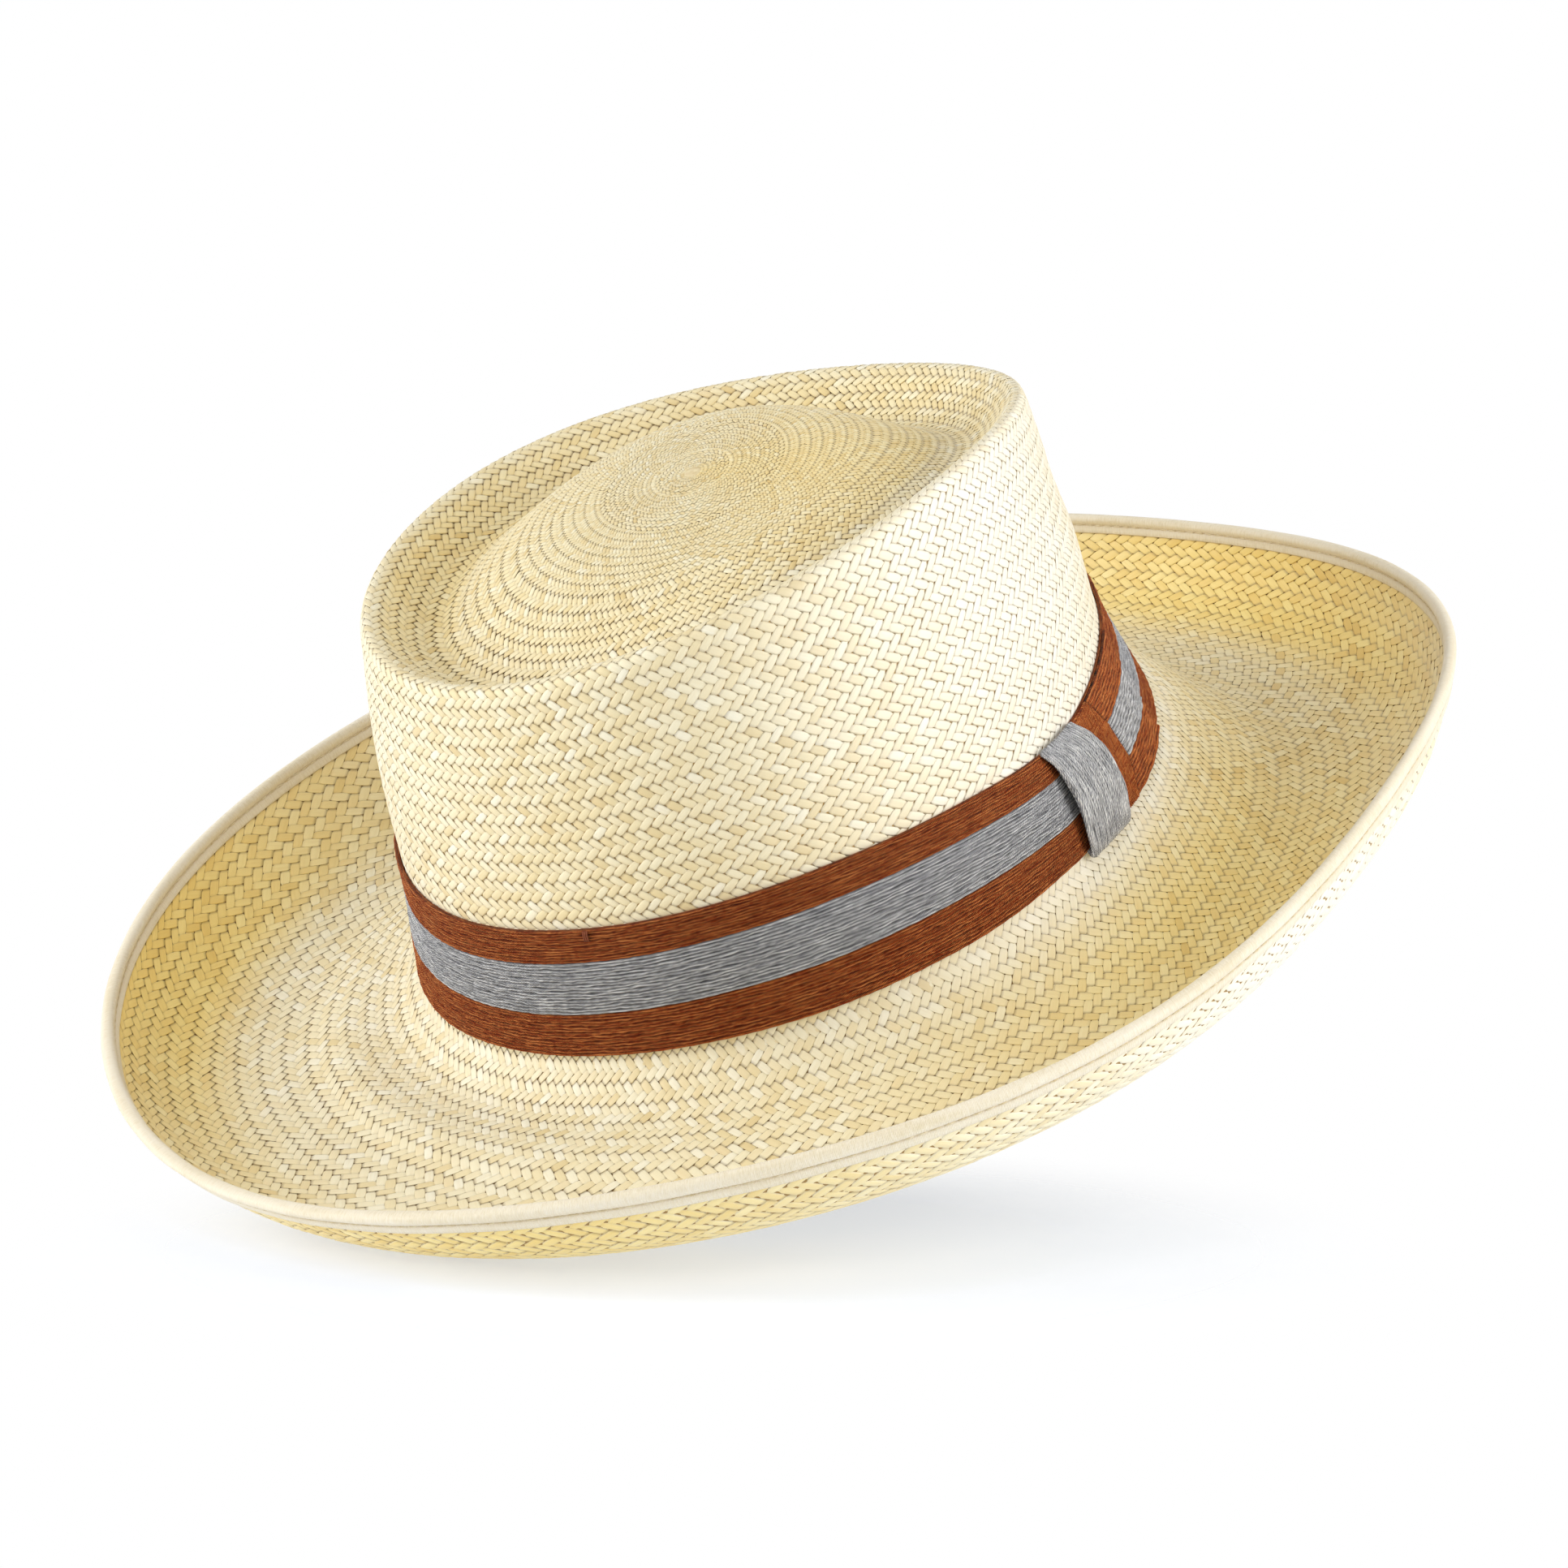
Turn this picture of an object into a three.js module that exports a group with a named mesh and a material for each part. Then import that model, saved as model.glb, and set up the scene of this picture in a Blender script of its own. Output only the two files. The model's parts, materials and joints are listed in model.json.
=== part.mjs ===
// Woven straw hat with a telescope crown and an up-curled, ribbon-bound brim.
// Millimetres, +Z up. The front of the hat faces -Y, the wearer's left (the bow side) is +X.
// The origin is the centre of the brim's footprint, on the plane the brim rests on (z = 0).
// Shapes are first drawn as a nominal radius r and a height z over the crown base; place()
// then bends them into the blocked shape. Angles run from +X towards the back (+Y).
import * as THREE from 'three';
import { mergeVertices } from 'three/addons/utils/BufferGeometryUtils.js';

const { clamp, degToRad, lerp, smoothstep } = THREE.MathUtils;
const { cos, sin } = Math;

// ---- driving dimensions -------------------------------------------------
const SEGMENTS = 48;            // divisions round the hat
const STRAW_T = 1.6;            // thickness of the woven straw
const GAP = 0.3;                // clearance between neighbouring pieces
const THREAD_R = 0.25;          // sewing thread radius

const CROWN_H = 89.65;          // mean height of the crown ridge over the crown base
const TIP_OVAL = 1.22;          // length / width of the crown at its tip
const BASE_OVAL = 1.2042;       // length / width of the crown at its base
const RIM_OVAL = 1.1065;        // length / width of the brim at its edge

const REST_SLOPE = 0.0936;      // slope between the crown base and the rest plane
const TROUGH_Z = -21.16;        // brim's lowest ring, below the crown base
const TROUGH_R0 = 128.9;        // inner radius of the flat rest ring
const TROUGH_R1 = 135.3;        // outer radius of the flat rest ring
const CURL_R = 161.84;          // control radius of the curl's curve
const RIM_R = 166.27;           // mean radius of the brim's edge
const RIM_Z = 2.84;             // mean height of the rim over the crown base

const BAND_Z0 = 4.0;            // hat band, nominal lower edge over the crown base
const BAND_Z1 = 34.9;           // hat band, nominal upper edge
const BAND_T = 0.9;             // ribbon thickness

// ---- the blocked shape --------------------------------------------------
// Waves round the hat, each row: order, cosine amount, sine amount
const RIDGE_WAVE = [[1, 6.73, -10.15], [2, 5.31, -2.65], [3, -0.30, -0.40]];
const BASE_WAVE = [[2, -0.5, -4.03]];
const RIM_WAVE = [[1, 2.78, 0], [2, 1.276, -1.384], [3, -1.241, 1.754], [4, 1.151, 0.721]];
const RIM_PLAN = [
  [1, -0.0402, -0.018], [2, -0.0221, 0.0146], [3, 0, 0.0065],
  [4, -0.0108, 0.0146], [5, -0.0064, -0.0077],
];
const CROWN_SQUARING = [[4, -0.0109, 0]];
const CROWN_LOBES = [[3, 0, -0.0212]];
const BASE_WAVE_H = 60;         // height at which the base wave has died out

// Bulges (+) and dents (-) of the crown wall:
// direction in degrees, spread in radians, height, spread in height, amount
const WALL_BULGES = [
  [30, 0.84, 28, 18, -3.9], [30, 0.84, 60, 20, -2.1],
  [-158, 0.61, 62, 16, 1.1], [-158, 0.61, 26, 10, -0.8],
];

// Nominal radii over which each effect fades in (bulgeEnd: fades out)
const FADE = {
  baseOval: [60, 90], rimOval: [90, 166], crownPlan: [0, 60], rimPlan: [96, 160],
  ridge: [25, 72], bulgeStart: [60, 84], bulgeEnd: [95, 99],
};
const RIM_OFFSET = { x: 2.845, y: 0.203 };      // rim's centre from the crown's
const FOOTPRINT_SHIFT = { x: 5.015, y: 4.884 }; // centres the brim's footprint on the origin
const TILT = Math.atan(REST_SLOPE);
const LIFT = (STRAW_T - TROUGH_Z) * cos(TILT);  // sets the rest ring's underside on z = 0
const SNAP = 1e-4;              // heights this near the rest plane are put on it

const fade = (r, [from, to]) => smoothstep(r, from, to);
const bell = (x, middle, width) => Math.exp(-(((x - middle) / width) ** 2));

function wave(rows, angle) {
  return rows.reduce((sum, [n, c, s]) => sum + c * cos(n * angle) + s * sin(n * angle), 0);
}

// signed turn in radians from a direction in degrees, within half a turn
function turnFrom(degrees, angle) {
  const turn = angle - degToRad(degrees);
  return Math.atan2(sin(turn), cos(turn));
}

function wallBulge(z, angle) {
  return WALL_BULGES.reduce((sum, [direction, spread, height, heightSpread, amount]) => (
    sum + amount * bell(turnFrom(direction, angle), 0, spread) * bell(z, height, heightSpread)
  ), 0);
}

// Final [x, y, z] of a nominal point. brim (0 to 1) trades the crown's shaping for the
// rest plane's slope; rise (0 to 1) brings in the rim's wave.
function place({ r, z, brim = 0, rise = 0 }, angle) {
  const crownOval = lerp(TIP_OVAL, BASE_OVAL, fade(r, FADE.baseOval));
  const oval = Math.sqrt(lerp(crownOval, RIM_OVAL, fade(r, FADE.rimOval)));
  const crown = 1 - brim;

  const crownPlan = (1 + wave(CROWN_SQUARING, angle)) * (1 + wave(CROWN_LOBES, angle));
  const rimPart = fade(r, FADE.rimPlan);
  const scale = lerp(
    lerp(1, crownPlan, fade(r, FADE.crownPlan)), 1 + wave(RIM_PLAN, angle), rimPart,
  );
  const bulgePart = fade(r, FADE.bulgeStart) * (1 - fade(r, FADE.bulgeEnd)) * crown;
  const radius = (r + wallBulge(z, angle) * bulgePart) * scale;
  const x = radius / oval * cos(angle) + RIM_OFFSET.x * rimPart;
  const y = radius * oval * sin(angle) + RIM_OFFSET.y * rimPart;

  const ridgePart = clamp(z / CROWN_H, 0, 1.2) * fade(r, FADE.ridge) * crown;
  const basePart = clamp(1 - Math.max(z, 0) / BASE_WAVE_H, 0, 1) * crown;
  const height = z + wave(RIDGE_WAVE, angle) * ridgePart + wave(BASE_WAVE, angle) * basePart
    - REST_SLOPE * y * brim + wave(RIM_WAVE, angle) * rise;

  const up = y * sin(TILT) + height * cos(TILT) + LIFT;
  return [
    x + FOOTPRINT_SHIFT.x,
    y * cos(TILT) - height * sin(TILT) + FOOTPRINT_SHIFT.y,
    Math.abs(up) < SNAP ? 0 : up,
  ];
}

// ---- crown wall and ribbon ----------------------------------------------
// Outer face of the straw from the centre of the tip to the foot of the crown: r, z
const CROWN_LINE = [
  [0, 96.5], [14, 96.3], [28, 95.2], [38, 93.3], [46.5, 90], [54, 86.1], [61.5, 81.8],
  [66.5, 80.1], [71, 81.3], [75.4, 85], [79.3, 88.5], [81.6, 89.5], [83.2, 88.5], [84.2, 85],
  [85.8, 74], [87.4, 62], [89.3, 50], [90.9, 36], [91.55, 30], [92.2, 24], [92.85, 18],
  [93.5, 12], [94.5, 5], [95.6, 1.4], [97.8, -0.8],
];
const WALL_START = 13;          // row where the wall proper begins
const [FOOT_R, FOOT_Z] = CROWN_LINE[CROWN_LINE.length - 1];

// The ribbon's edges, drawn in near the keeper: angle in degrees, lower edge, upper edge
const BAND_EDGES = [
  [-180, 4.0, 34.0], [-146, 3.8, 33.8], [-114, 3.8, 33.5], [-82, 3.4, 33.7],
  [-50, 4.3, 34.1], [-34, 4.4, 32.4], [-26, 4.4, 31.0], [-18, 4.6, 29.0],
  [-10, 4.1, 27.5], [-2, 3.3, 27.1], [6, 2.4, 27.8], [14, 1.9, 28.4],
  [30, 2.2, 29.4], [50, 3.2, 31.5], [80, 3.8, 33.5], [120, 4.0, 34.0], [180, 4.0, 34.0],
];

// radius of the straw's outer face at height z on the crown wall
function wallRadius(z) {
  for (let i = WALL_START; i < CROWN_LINE.length - 1; i++) {
    const [r0, z0] = CROWN_LINE[i];
    const [r1, z1] = CROWN_LINE[i + 1];
    if (z <= z0 && z >= z1) return lerp(r0, r1, (z0 - z) / (z0 - z1));
  }
  return FOOT_R;
}

// actual height of a nominal ribbon height (BAND_Z0 to BAND_Z1)
function ribbonHeight(z, angle) {
  const degrees = turnFrom(0, angle) * 180 / Math.PI;
  let i = 0;
  while (i < BAND_EDGES.length - 2 && degrees > BAND_EDGES[i + 1][0]) i++;
  const [angle0, low0, high0] = BAND_EDGES[i];
  const [angle1, low1, high1] = BAND_EDGES[i + 1];
  const part = clamp((degrees - angle0) / (angle1 - angle0), 0, 1);
  const low = lerp(low0, low1, part);
  const high = lerp(high0, high1, part);
  return low + (z - BAND_Z0) * (high - low) / (BAND_Z1 - BAND_Z0);
}

// place a point given by its offset from the wall's outer face
const onWall = ({ off, z }, angle) => place({ r: wallRadius(z) + off, z }, angle);
const onRibbon = ({ off, z }, angle) => onWall({ off, z: ribbonHeight(z, angle) }, angle);

// ---- brim curl: a quadratic curve from the rest ring to the brim's edge --
const EDGE_STEP = 0.002;        // parameter step when measuring back from the edge

function curlSlope(b) {
  const dr = 2 * (1 - b) * (CURL_R - TROUGH_R1) + 2 * b * (RIM_R - CURL_R);
  const dz = 2 * b * (RIM_Z - TROUGH_Z);
  return { dr, dz, speed: Math.hypot(dr, dz) };
}

// point at parameter b (0 to 1), offset to the upper (inner) side
function curlPoint(b, off = 0) {
  const { dr, dz, speed } = curlSlope(b);
  const r = (1 - b) * (1 - b) * TROUGH_R1 + 2 * b * (1 - b) * CURL_R + b * b * RIM_R;
  const z = TROUGH_Z + (RIM_Z - TROUGH_Z) * b * b;
  return { r: r - dz / speed * off, z: z + dr / speed * off, brim: 1, rise: b * b };
}

// point at a distance back from the edge along the curl
function edgePoint(distance, off) {
  let b = 1;
  let left = distance;
  while (left > 0) {
    const length = curlSlope(b).speed * EDGE_STEP;
    b -= EDGE_STEP * Math.min(1, left / length);
    left -= length;
  }
  return curlPoint(b, off);
}

// ---- solid builders -----------------------------------------------------
// weld the vertices, drop collapsed triangles and face the rest outwards
function solid(geometry) {
  geometry.deleteAttribute('normal');
  geometry.deleteAttribute('uv');
  const welded = mergeVertices(geometry, 1e-4);
  const source = welded.index.array;
  const corners = [0, 1, 2].map(() => new THREE.Vector3());
  const triangles = [];
  let volume = 0;
  for (let i = 0; i < source.length; i += 3) {
    const [a, b, c] = source.slice(i, i + 3);
    if (a === b || b === c || a === c) continue;
    triangles.push([a, b, c]);
    const [A, B, C] = corners;
    [a, b, c].forEach((v, n) => corners[n].fromBufferAttribute(welded.attributes.position, v));
    volume += A.dot(B.cross(C));
  }
  welded.setIndex(triangles.flatMap(([a, b, c]) => (volume < 0 ? [b, a, c] : [a, b, c])));
  welded.computeVertexNormals();
  return welded;
}

// move every vertex to locate(x, y, z, index)
function reshape(geometry, locate) {
  const p = geometry.attributes.position;
  for (let i = 0; i < p.count; i++) {
    p.setXYZ(i, ...locate(p.getX(i), p.getY(i), p.getZ(i), i));
  }
  return solid(geometry);
}

// a section carried round the hat; the lathe only supplies the mesh's layout
function openRing(section, locate = place) {
  const count = section.length;
  const layout = section.map((_, i) => new THREE.Vector2(1, i));
  return reshape(new THREE.LatheGeometry(layout, SEGMENTS), (x, y, z, i) => {
    const step = Math.floor(i / count) % SEGMENTS;
    return locate(section[i % count], 2 * Math.PI * step / SEGMENTS);
  });
}
const ring = (section, locate) => openRing([...section, section[0]], locate);

// a small round section; point(x, y) turns its local offsets into a section point
function cord(radius, sides, phase, point) {
  return ring(Array.from({ length: sides }, (_, i) => {
    const a = 2 * Math.PI * i / sides + phase;
    return point(radius * cos(a), radius * sin(a));
  }));
}
const crownCord = (r, z, radius, sides) => (
  cord(radius, sides, 0.4, (x, y) => ({ r: r + x, z: z + y })));
const edgeCord = (distance, off, radius, sides) => (
  cord(radius, sides, 0, (x, y) => edgePoint(distance + x, off + y)));

// section of a strip: one face up through the heights, the other face back down
const strip = (heights, near, far) => [...heights.map(near), ...[...heights].reverse().map(far)];

// a plate lying on the crown wall; each range is [from, to], angles in degrees
function plate({ angles, heights, offsets, divisions: [along, up], locate = onRibbon }) {
  const range = ([from, to], part) => from + (to - from) * (part + 0.5);
  return reshape(new THREE.BoxGeometry(1, 1, 1, along, 1, up), (x, y, z) => (
    locate({ off: range(offsets, y), z: range(heights, z) }, degToRad(range(angles, x)))));
}

// a section of [offset, height] points carried along the ribbon between two angles
function strap(points, [from, to], steps) {
  const shape = new THREE.Shape(points.map(([x, y]) => new THREE.Vector2(x, y)));
  const bar = new THREE.ExtrudeGeometry(shape, { depth: 1, steps, bevelEnabled: false });
  return reshape(bar, (x, y, z) => onRibbon({ off: x, z: y }, degToRad(from + (to - from) * z)));
}

const hat = new THREE.Group();
function add(name, geometry, { color, roughness, metalness = 0 }) {
  const material = new THREE.MeshStandardMaterial({ color, roughness, metalness });
  const mesh = new THREE.Mesh(geometry, material);
  mesh.name = name;
  hat.add(mesh);
}

// ---- straw body: tip, crown and brim are one continuous weave -----------
function strawFace() {
  const slope = [0.2, 0.42, 0.7, 1].map((part) => ({
    r: FOOT_R + (TROUGH_R0 - FOOT_R) * part,
    z: FOOT_Z + (TROUGH_Z - FOOT_Z) * (1 - Math.pow(1 - part, 1.7)),
    brim: smoothstep(part, 0, 0.75),
  }));
  return [
    ...CROWN_LINE.map(([r, z]) => ({ r, z })),
    ...slope,
    { r: TROUGH_R1, z: TROUGH_Z, brim: 1 },
    ...[0.16, 0.33, 0.5, 0.67, 0.82].map((b) => curlPoint(b)),
    edgePoint(2.5, 0),
  ];
}

// the face moved in by the straw's thickness; straight down at the centre and rest ring
function strawUnderside(face) {
  return face.map((point, i) => {
    if (i === 0 || point.z === TROUGH_Z) return { ...point, z: point.z - STRAW_T };
    const before = face[i - 1];
    const after = face[Math.min(face.length - 1, i + 1)];
    const dr = after.r - before.r;
    const dz = after.z - before.z;
    const shift = STRAW_T / Math.hypot(dr, dz);
    return { ...point, r: point.r + dz * shift, z: point.z - dr * shift };
  });
}

function addStrawBody() {
  const face = strawFace();
  const geometry = openRing([...face, ...strawUnderside(face).reverse()]);
  add('straw_body', geometry, { color: 0xeadcb0, roughness: 0.6 });
}

// ---- brim edge: a wire, the folded ribbon over it and two lines of stitching
const BIND_W = 5.2;             // width of each leg of the edge binding
const BIND_T = 0.6;             // binding ribbon thickness
const WIRE_R = 0.5;             // brim wire radius
const STITCH_IN = 4.2;          // stitching, distance in from the edge

function addBrimEdge() {
  const near = GAP;
  const far = GAP + BIND_T;
  const middle = -STRAW_T / 2;
  const under = (distance, off) => edgePoint(distance, -STRAW_T - off);
  const wire = edgeCord(1.6, middle, WIRE_R, 6);
  add('brim_wire', wire, { color: 0x8c8f93, roughness: 0.35, metalness: 1 });
  add('brim_binding', ring([
    edgePoint(BIND_W, far), edgePoint(1.0, far), edgePoint(0.3, 0.45),
    edgePoint(0, middle),
    under(0.3, 0.45), under(1.0, far), under(BIND_W, far),
    under(BIND_W, near), under(1.2, near),
    edgePoint(0.65, middle),
    edgePoint(1.2, near), edgePoint(BIND_W, near),
  ]), { color: 0xeee3c4, roughness: 0.75 });

  const threadOff = far + GAP + THREAD_R;
  for (const [side, off] of [['top', threadOff], ['under', -STRAW_T - threadOff]]) {
    const thread = edgeCord(STITCH_IN, off, THREAD_R, 4);
    add(`binding_thread_${side}`, thread, { color: 0xd8c79c, roughness: 0.7 });
  }
}

// ---- hat band: one ribbon round the crown's base, and its tacks ---------
const OVER_BAND = GAP * 2 + BAND_T; // offset of pieces that lie over the ribbon

function addHatBand() {
  const face = (off) => (z) => ({ off, z });
  const section = strip([BAND_Z0, 11, 18, 26, BAND_Z1], face(GAP), face(GAP + BAND_T));
  add('hat_band', ring(section, onRibbon), { color: 0x8d4a2c, roughness: 0.85 });
  for (const [place, angle] of [['front', -90], ['side', 180], ['back', 90]]) {
    add(`band_tack_${place}`, plate({
      angles: [angle - 0.7, angle + 0.7],
      heights: [BAND_Z1 - 2.2, BAND_Z1 - 1.6],
      offsets: [OVER_BAND, OVER_BAND + 0.5],
      divisions: [1, 1],
    }), { color: 0x7a3f25, roughness: 0.8 });
  }
}

// ---- bow: a flat folded panel held by a keeper loop ---------------------
const BOW_T = 1.1;              // thickness of the folded bow panel
const BOW_OFF = OVER_BAND + 0.1;
const KEEPER_PROUD = 3.6;       // how far the keeper stands off the straw
const KEEPER_T = 0.9;
const KEEPER_OVERLAP = 1.5;     // how far it passes the ribbon's edges

function addBow() {
  add('bow_panel', plate({
    angles: [-8, 31],
    heights: [BAND_Z0 + 0.3, BAND_Z1 - 0.2],
    offsets: [BOW_OFF, BOW_OFF + BOW_T],
    divisions: [12, 3],
  }), { color: 0x96502f, roughness: 0.85 });

  const low = BAND_Z0 - KEEPER_OVERLAP;
  const high = BAND_Z1 + KEEPER_OVERLAP;
  const middle = 19;
  const foot = 0.4;
  const corner = KEEPER_PROUD - 0.3;
  const shoulder = KEEPER_PROUD + 0.4;
  const crest = KEEPER_PROUD + 0.8;
  const outside = [
    [foot, low], [corner, low + 0.05], [shoulder, low + 1.4], [crest, middle],
    [shoulder, high - 1.4], [corner, high - 0.05], [foot, high],
  ];
  const inside = [
    [foot, high - KEEPER_T], [corner - 0.25, high - KEEPER_T - 0.05],
    [shoulder - KEEPER_T, high - 2], [crest - KEEPER_T, middle], [shoulder - KEEPER_T, low + 2],
    [corner - 0.25, low + KEEPER_T + 0.05], [foot, low + KEEPER_T],
  ];
  const keeper = strap([...outside, ...inside], [-12.6, 3.6], 4);
  add('bow_keeper', keeper, { color: 0x9b9ea3, roughness: 0.85 });
}

// ---- inside: sweatband with its reed cord, seam thread and back bow -----
const SWEAT_Z = 1.0;            // sweatband's lower edge
const SWEAT_H = 30;             // sweatband height
const SWEAT_T = 1.1;            // sweatband thickness
const SWEAT_IN = STRAW_T + GAP + 0.15;      // its outer face, in from the straw's outer face
const INSIDE_SWEAT = SWEAT_IN + SWEAT_T + GAP; // outer side of pieces within it
const FLARE_Z = 3;              // below this the sweatband ignores the crown's flare
const REED_R = 0.8;             // reed cord radius
const SEAM_Z = 3.2;             // height of the seam thread

function addSweatband() {
  const face = (depth) => (z) => ({ r: wallRadius(Math.max(z, FLARE_Z)) - depth, z });
  const heights = [SWEAT_Z, 4, 8, 13, 19, 25, SWEAT_Z + SWEAT_H];
  const section = strip(heights, face(SWEAT_IN + SWEAT_T), face(SWEAT_IN));
  add('sweatband', ring(section), { color: 0xb08a5c, roughness: 0.55 });

  const reed = crownCord(wallRadius(FLARE_Z) - SWEAT_IN - 0.85, -0.2, REED_R, 6);
  add('sweatband_reed', reed, { color: 0x3d3128, roughness: 0.6 });

  const seamR = wallRadius(SEAM_Z) - INSIDE_SWEAT - THREAD_R;
  const thread = crownCord(seamR, SEAM_Z, THREAD_R, 4);
  add('sweatband_thread', thread, { color: 0xd9c9a2, roughness: 0.7 });

  add('sweatband_bow', plate({
    angles: [84, 96],
    heights: [7.5, 14.5],
    offsets: [-INSIDE_SWEAT - 1.4, -INSIDE_SWEAT],
    divisions: [3, 2],
    locate: onWall,
  }), { color: 0x6b4a30, roughness: 0.6 });
}

addStrawBody();
addBrimEdge();
addHatBand();
addBow();
addSweatband();

export default hat;
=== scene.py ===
# Woven straw hat: plaited crown and brim, striped ribbon with a bow at +X, bound edge and
# sweatband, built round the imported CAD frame. Metres, row frame, +Z up, front at -Y.
# The design is in millimetres; place() turns it into metres. Angles run about +Z from +X.
import json
import math
import bpy
import numpy as np
from mathutils import Matrix, Vector

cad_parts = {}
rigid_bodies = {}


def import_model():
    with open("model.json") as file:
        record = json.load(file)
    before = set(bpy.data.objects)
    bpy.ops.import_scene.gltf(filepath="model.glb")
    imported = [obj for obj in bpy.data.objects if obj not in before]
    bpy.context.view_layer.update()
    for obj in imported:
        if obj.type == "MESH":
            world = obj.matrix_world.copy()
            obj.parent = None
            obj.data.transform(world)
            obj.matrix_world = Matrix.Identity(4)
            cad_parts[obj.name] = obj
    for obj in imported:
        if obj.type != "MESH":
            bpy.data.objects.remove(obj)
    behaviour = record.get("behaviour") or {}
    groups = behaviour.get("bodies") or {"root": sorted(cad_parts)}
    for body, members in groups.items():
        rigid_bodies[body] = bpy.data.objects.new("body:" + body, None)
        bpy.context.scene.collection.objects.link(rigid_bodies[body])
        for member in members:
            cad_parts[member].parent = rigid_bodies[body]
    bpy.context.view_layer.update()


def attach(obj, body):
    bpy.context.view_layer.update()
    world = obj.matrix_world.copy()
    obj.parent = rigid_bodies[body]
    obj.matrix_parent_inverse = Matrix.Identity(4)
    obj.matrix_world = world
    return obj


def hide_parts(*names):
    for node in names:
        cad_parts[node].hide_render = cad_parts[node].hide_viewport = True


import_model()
PI = math.pi

# ------------------------------------------------------------------ sizes (mm)
STRAW_THICK = 1.6
CROWN_HEIGHT = 89.65
# length along Y over width along X, at the crown's tip, its base and the brim's rim
TIP_OVAL, BASE_OVAL, RIM_OVAL = 1.22, 1.2042, 1.1065
TROUGH_Z, TROUGH_INNER, TROUGH_OUTER = -21.16, 128.9, 135.3     # lowest ring of the brim
CURL_RADIUS = 161.84                                            # control point of the curl
RIM_RADIUS, RIM_Z = 166.27, 2.84
BASE_RADIUS, BASE_Z = 97.8, -0.8                                # where the brim leaves the crown

REST_SLOPE = 0.0936                                             # tilt about X as the hat rests
TILT = math.atan(REST_SLOPE)
TILT_COS, TILT_SIN = math.cos(TILT), math.sin(TILT)
SHIFT_X, SHIFT_Y = 5.015, 4.884
LIFT = (STRAW_THICK - TROUGH_Z) * TILT_COS

# turns per circle, cosine part, sine part
RIM_FORM = [(1, -0.0402, -0.018), (2, -0.0221, 0.0146), (3, 0, 0.0065),
            (4, -0.0108, 0.0146), (5, -0.0064, -0.0077)]
RIDGE_RISE = [(1, 6.73, -10.15), (2, 5.31, -2.65), (3, -0.30, -0.40)]
BASE_RISE = [(2, -0.5, -4.03)]
RIM_RISE = [(1, 2.78, 0), (2, 1.276, -1.384), (3, -1.241, 1.754), (4, 1.151, 0.721)]

# where the crown's wall leans in (-) or swells (+):
# direction in degrees, spread in radians, (depth, height, reach) of each fold
WALL_LEANS = [(30, 0.84, ((-3.9, 28, 18), (-2.1, 60, 20))),
              (-158, 0.61, ((1.1, 62, 16), (-0.8, 26, 10)))]

# outer face of the crown from the tip's centre down to the brim: radius, height
CROWN = [
    (0, 96.5), (10, 96.4), (20, 96.0), (28, 95.2), (35, 94.0), (41, 92.3), (46.5, 90.0),
    (52, 87.2), (57, 84.3), (61.5, 81.8), (65, 80.4), (68, 80.2), (71, 81.3), (74, 83.6),
    (76.8, 86.3), (79.3, 88.5), (81.5, 89.5), (83.1, 88.6), (83.9, 86.2), (84.6, 81.5),
    (85.8, 74), (87.4, 62), (89.3, 50), (90.9, 36), (92.2, 24), (93.5, 12), (94.5, 5),
    (95.6, 1.4), (BASE_RADIUS, BASE_Z)]
RIDGE_STATION = 16                                              # the crown's top ridge in CROWN
BRIM_STEPS = (0.14, .28, .43, .58, .73, .87, 1.0)               # share of the way to the trough
CURL_STEPS = (0.12, .25, .38, .5, .62, .74, .87, 1.0)           # share of the way up the curl
LINE_STEPS = 16                                                 # points per station

# heights of the ribbon's edges and stripe borders; it is drawn in narrower at the keeper
RIBBON_DEGREES = [-180, -160, -146, -130, -114, -98, -82, -66, -50, -42, -34, -26,
                  -18, -10, -2, 6, 14, 22, 30, 50, 80, 120, 180]
RIBBON_BOTTOM = [4.0, 4.1, 3.8, 3.6, 3.8, 3.4, 3.4, 3.9, 4.3, 4.6, 4.4, 4.4,
                 4.6, 4.1, 3.3, 2.4, 1.9, 1.8, 2.2, 3.2, 3.8, 4.0, 4.0]
RIBBON_LOWER = [13.8, 13.8, 13.7, 13.7, 13.5, 13.2, 13.5, 14.2, 14.4, 14.4, 14.0, 13.3,
                12.4, 11.4, 10.6, 10.0, 9.8, 9.8, 10.0, 12.0, 13.5, 13.8, 13.8]
RIBBON_UPPER = [25.8, 25.6, 25.3, 25.2, 25.4, 25.7, 26.0, 26.7, 26.8, 26.2, 25.4, 24.0,
                22.4, 21.0, 20.2, 19.8, 19.7, 19.5, 19.6, 22.0, 25.0, 25.8, 25.8]
RIBBON_TOP = [34.0, 34.0, 33.8, 33.7, 33.5, 33.6, 33.7, 34.1, 34.1, 33.4, 32.4, 31.0,
              29.0, 27.5, 27.1, 27.8, 28.4, 29.0, 29.4, 31.5, 33.5, 34.0, 34.0]


# ------------------------------------------------------------------ small maths
def ease(start, end, x):
    """Smooth step from 0 at start to 1 at end."""
    share = np.clip((np.asarray(x, float) - start) / (end - start), 0, 1)
    return share * share * (3 - 2 * share)


def bell(x, spread):
    return np.exp(-(x / spread) ** 2)


def waves(terms, angle):
    return sum(even * np.cos(turns * angle) + odd * np.sin(turns * angle)
               for turns, even, odd in terms)


def degrees_from(direction, angle):
    """Angle in radians -> degrees away from a direction, -180 to 180."""
    return (np.degrees(np.asarray(angle, float)) - direction + 180) % 360 - 180


def unit(vectors):
    return vectors / np.linalg.norm(vectors, axis=-1, keepdims=True)


def circle(count):
    return 2 * PI * np.arange(count) / count


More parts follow.
